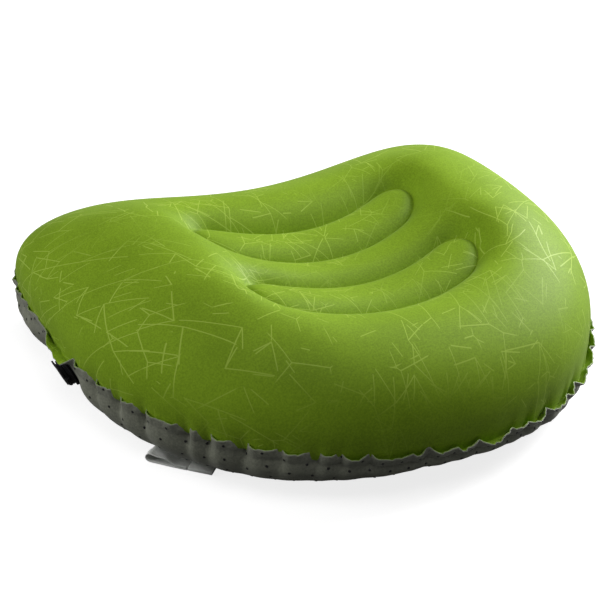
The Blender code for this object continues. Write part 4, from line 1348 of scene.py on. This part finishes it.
def make_ribbon(name, side, seed):
    """One folded ribbon on its anchor; side is -1 left and 1 right."""
    path, length = ribbon_path()
    dice = random.Random(seed)
    phases = [dice.uniform(0, 2 * math.pi) for _ in range(4)]
    strip = bmesh.new()
    weave = strip.loops.layers.uv.new("weave")
    bmesh.ops.create_grid(strip, x_segments=RIBBON_STEPS, y_segments=RIBBON_LANES, size=0.5)
    for face in strip.faces:
        for loop in face.loops:
            loop[weave].uv = ((loop.vert.co.x + 0.5) * length, loop.vert.co.y * RIBBON_WIDTH)
    place = anchor_frame(side)
    for vert in strip.verts:
        share = vert.co.x + 0.5
        across = vert.co.y
        stops = np.arange(RIBBON_STEPS + 1)
        x, z = (float(np.interp(share * RIBBON_STEPS, stops, path[:, k])) for k in (0, 1))
        free = math.sin(math.pi * share) ** 2
        crumple = 0
        for (height, along, over), phase in zip(CRUMPLES, phases):
            crumple += height * math.sin(along * share + over * across + phase)
        x += free * (RIBBON_SKEW * across + END_WAVE[0] * math.sin(END_WAVE[1] * across + phases[2]))
        sway = free * SIDE_WAVE[0] * math.sin(SIDE_WAVE[1] * share + phases[3])
        y = across * RIBBON_WIDTH * (1 - NARROWING * free) + sway
        lift = free * crumple * min(1.0, (z - RIBBON_LOW) / (2 * MM)) if z > RIBBON_LOW else 0.0
        vert.co = place @ Vector((x, y, max(z + lift, RIBBON_LOW)))
    bmesh.ops.recalc_face_normals(strip, faces=strip.faces)
    data = mesh_from(name, strip)
    data.shade_smooth()
    data.materials.append(RIBBON_FINISH)
    item = place_object(name, data)
    wall = item.modifiers.new("ply", "SOLIDIFY")
    wall.thickness = RIBBON_WALL
    wall.offset = 0
    return item


for side, word in ((-1, "left"), (1, "right")):
    ribbon = make_ribbon("ribbon_" + word, side, 40 + side)
    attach(ribbon, "loop_" + word)
    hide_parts("ribbon_loop_" + word)
print("ribbons are in place")

# %% [markdown]
# ## Valve, anchors and inner walls
# These small hard pieces already have their true shapes in the model. Each one is copied, its triangles
# are merged into clean faces, and its sharp edges are rounded with a small bevel, so that rubber and
# plastic catch the light as moulded parts do. The plug's strap is rounded the same way and stays where
# the model has it.

# %% Rounded copies
BLACK_RUBBER = plain_finish("black_valve_rubber", (0.014, 0.014, 0.015), 0.38, Specular_IOR_Level=0.5)
SILICONE = plain_finish("clear_grey_silicone", (0.35, 0.36, 0.35), 0.4, vary=0.15)
FILM = plain_finish("baffle_film", (0.52, 0.54, 0.50), 0.3, vary=0.12, scale=40.0)


MERGE_DISTANCE = 0.02 * MM
FLAT_ANGLE = math.radians(1)
SHARP_ANGLE = math.radians(35)
SHADE_ANGLE = math.radians(50)


def rounded_copy(node, material, width):
    """A copy of a model's node with clean faces and rounded edges."""
    shape = bmesh.new()
    shape.from_mesh(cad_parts[node].data)
    bmesh.ops.remove_doubles(shape, verts=shape.verts, dist=MERGE_DISTANCE)
    bmesh.ops.dissolve_limit(shape, angle_limit=FLAT_ANGLE, verts=shape.verts, edges=shape.edges)
    bmesh.ops.recalc_face_normals(shape, faces=shape.faces)
    for face in shape.faces:
        face.material_index = 0
    paired = [edge for edge in shape.edges if len(edge.link_faces) == 2]
    sharp = [edge for edge in paired if edge.calc_face_angle() > SHARP_ANGLE]
    bmesh.ops.bevel(shape, geom=sharp, offset=width, offset_type="OFFSET", segments=2, profile=0.5,
                    affect="EDGES", clamp_overlap=True, material=-1)
    data = mesh_from("soft_" + node, shape)
    data.shade_smooth()
    data.set_sharp_from_angle(angle=SHADE_ANGLE)
    data.materials.append(material)
    item = place_object("soft_" + node, data)
    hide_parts(node)
    return item


HARD_PIECES = (
    ("valve_patch", "pillow", BLACK_RUBBER, "valve_black", 0.25 * MM),
    ("valve_base", "pillow", BLACK_RUBBER, "valve_black", 0.3 * MM),
    ("dump_plug", "plug", BLACK_RUBBER, "valve_black", 0.25 * MM),
    ("plug_seal", "plug", SILICONE, "silicone", 0.05 * MM),
    ("flap_spider", "plug", BLACK_RUBBER, "valve_black", 0.15 * MM),
    ("check_flap", "flap", SILICONE, "silicone", 0.12 * MM),
    ("valve_cap", "cap", BLACK_RUBBER, "valve_black", 0.35 * MM),
    ("cap_tether", "cap", BLACK_RUBBER, "valve_black", 0.2 * MM),
    ("loop_anchor_left", "pillow", RIBBON_FINISH, "ribbon_grey", 0.4 * MM),
    ("loop_anchor_right", "pillow", RIBBON_FINISH, "ribbon_grey", 0.4 * MM),
)
for node, body, material, slot, width in HARD_PIECES:
    piece = rounded_copy(node, material, width)
    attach(piece, body)

STRAP_START = (-11 * MM, 0, 5.8 * MM)
STRAP_END = (-15.5 * MM, 0, 2.1 * MM)
tether = rounded_copy("plug_tether", BLACK_RUBBER, 0.2 * MM)
strap_start = valve_frame() @ Vector(STRAP_START)
strap_end = valve_frame() @ Vector(STRAP_END)
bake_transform(tether)

for name in ("baffle_rear", "baffle_front"):
    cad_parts[name].data.materials.clear()
    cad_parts[name].data.materials.append(FILM)
print(len(HARD_PIECES) + 1, "rounded pieces")
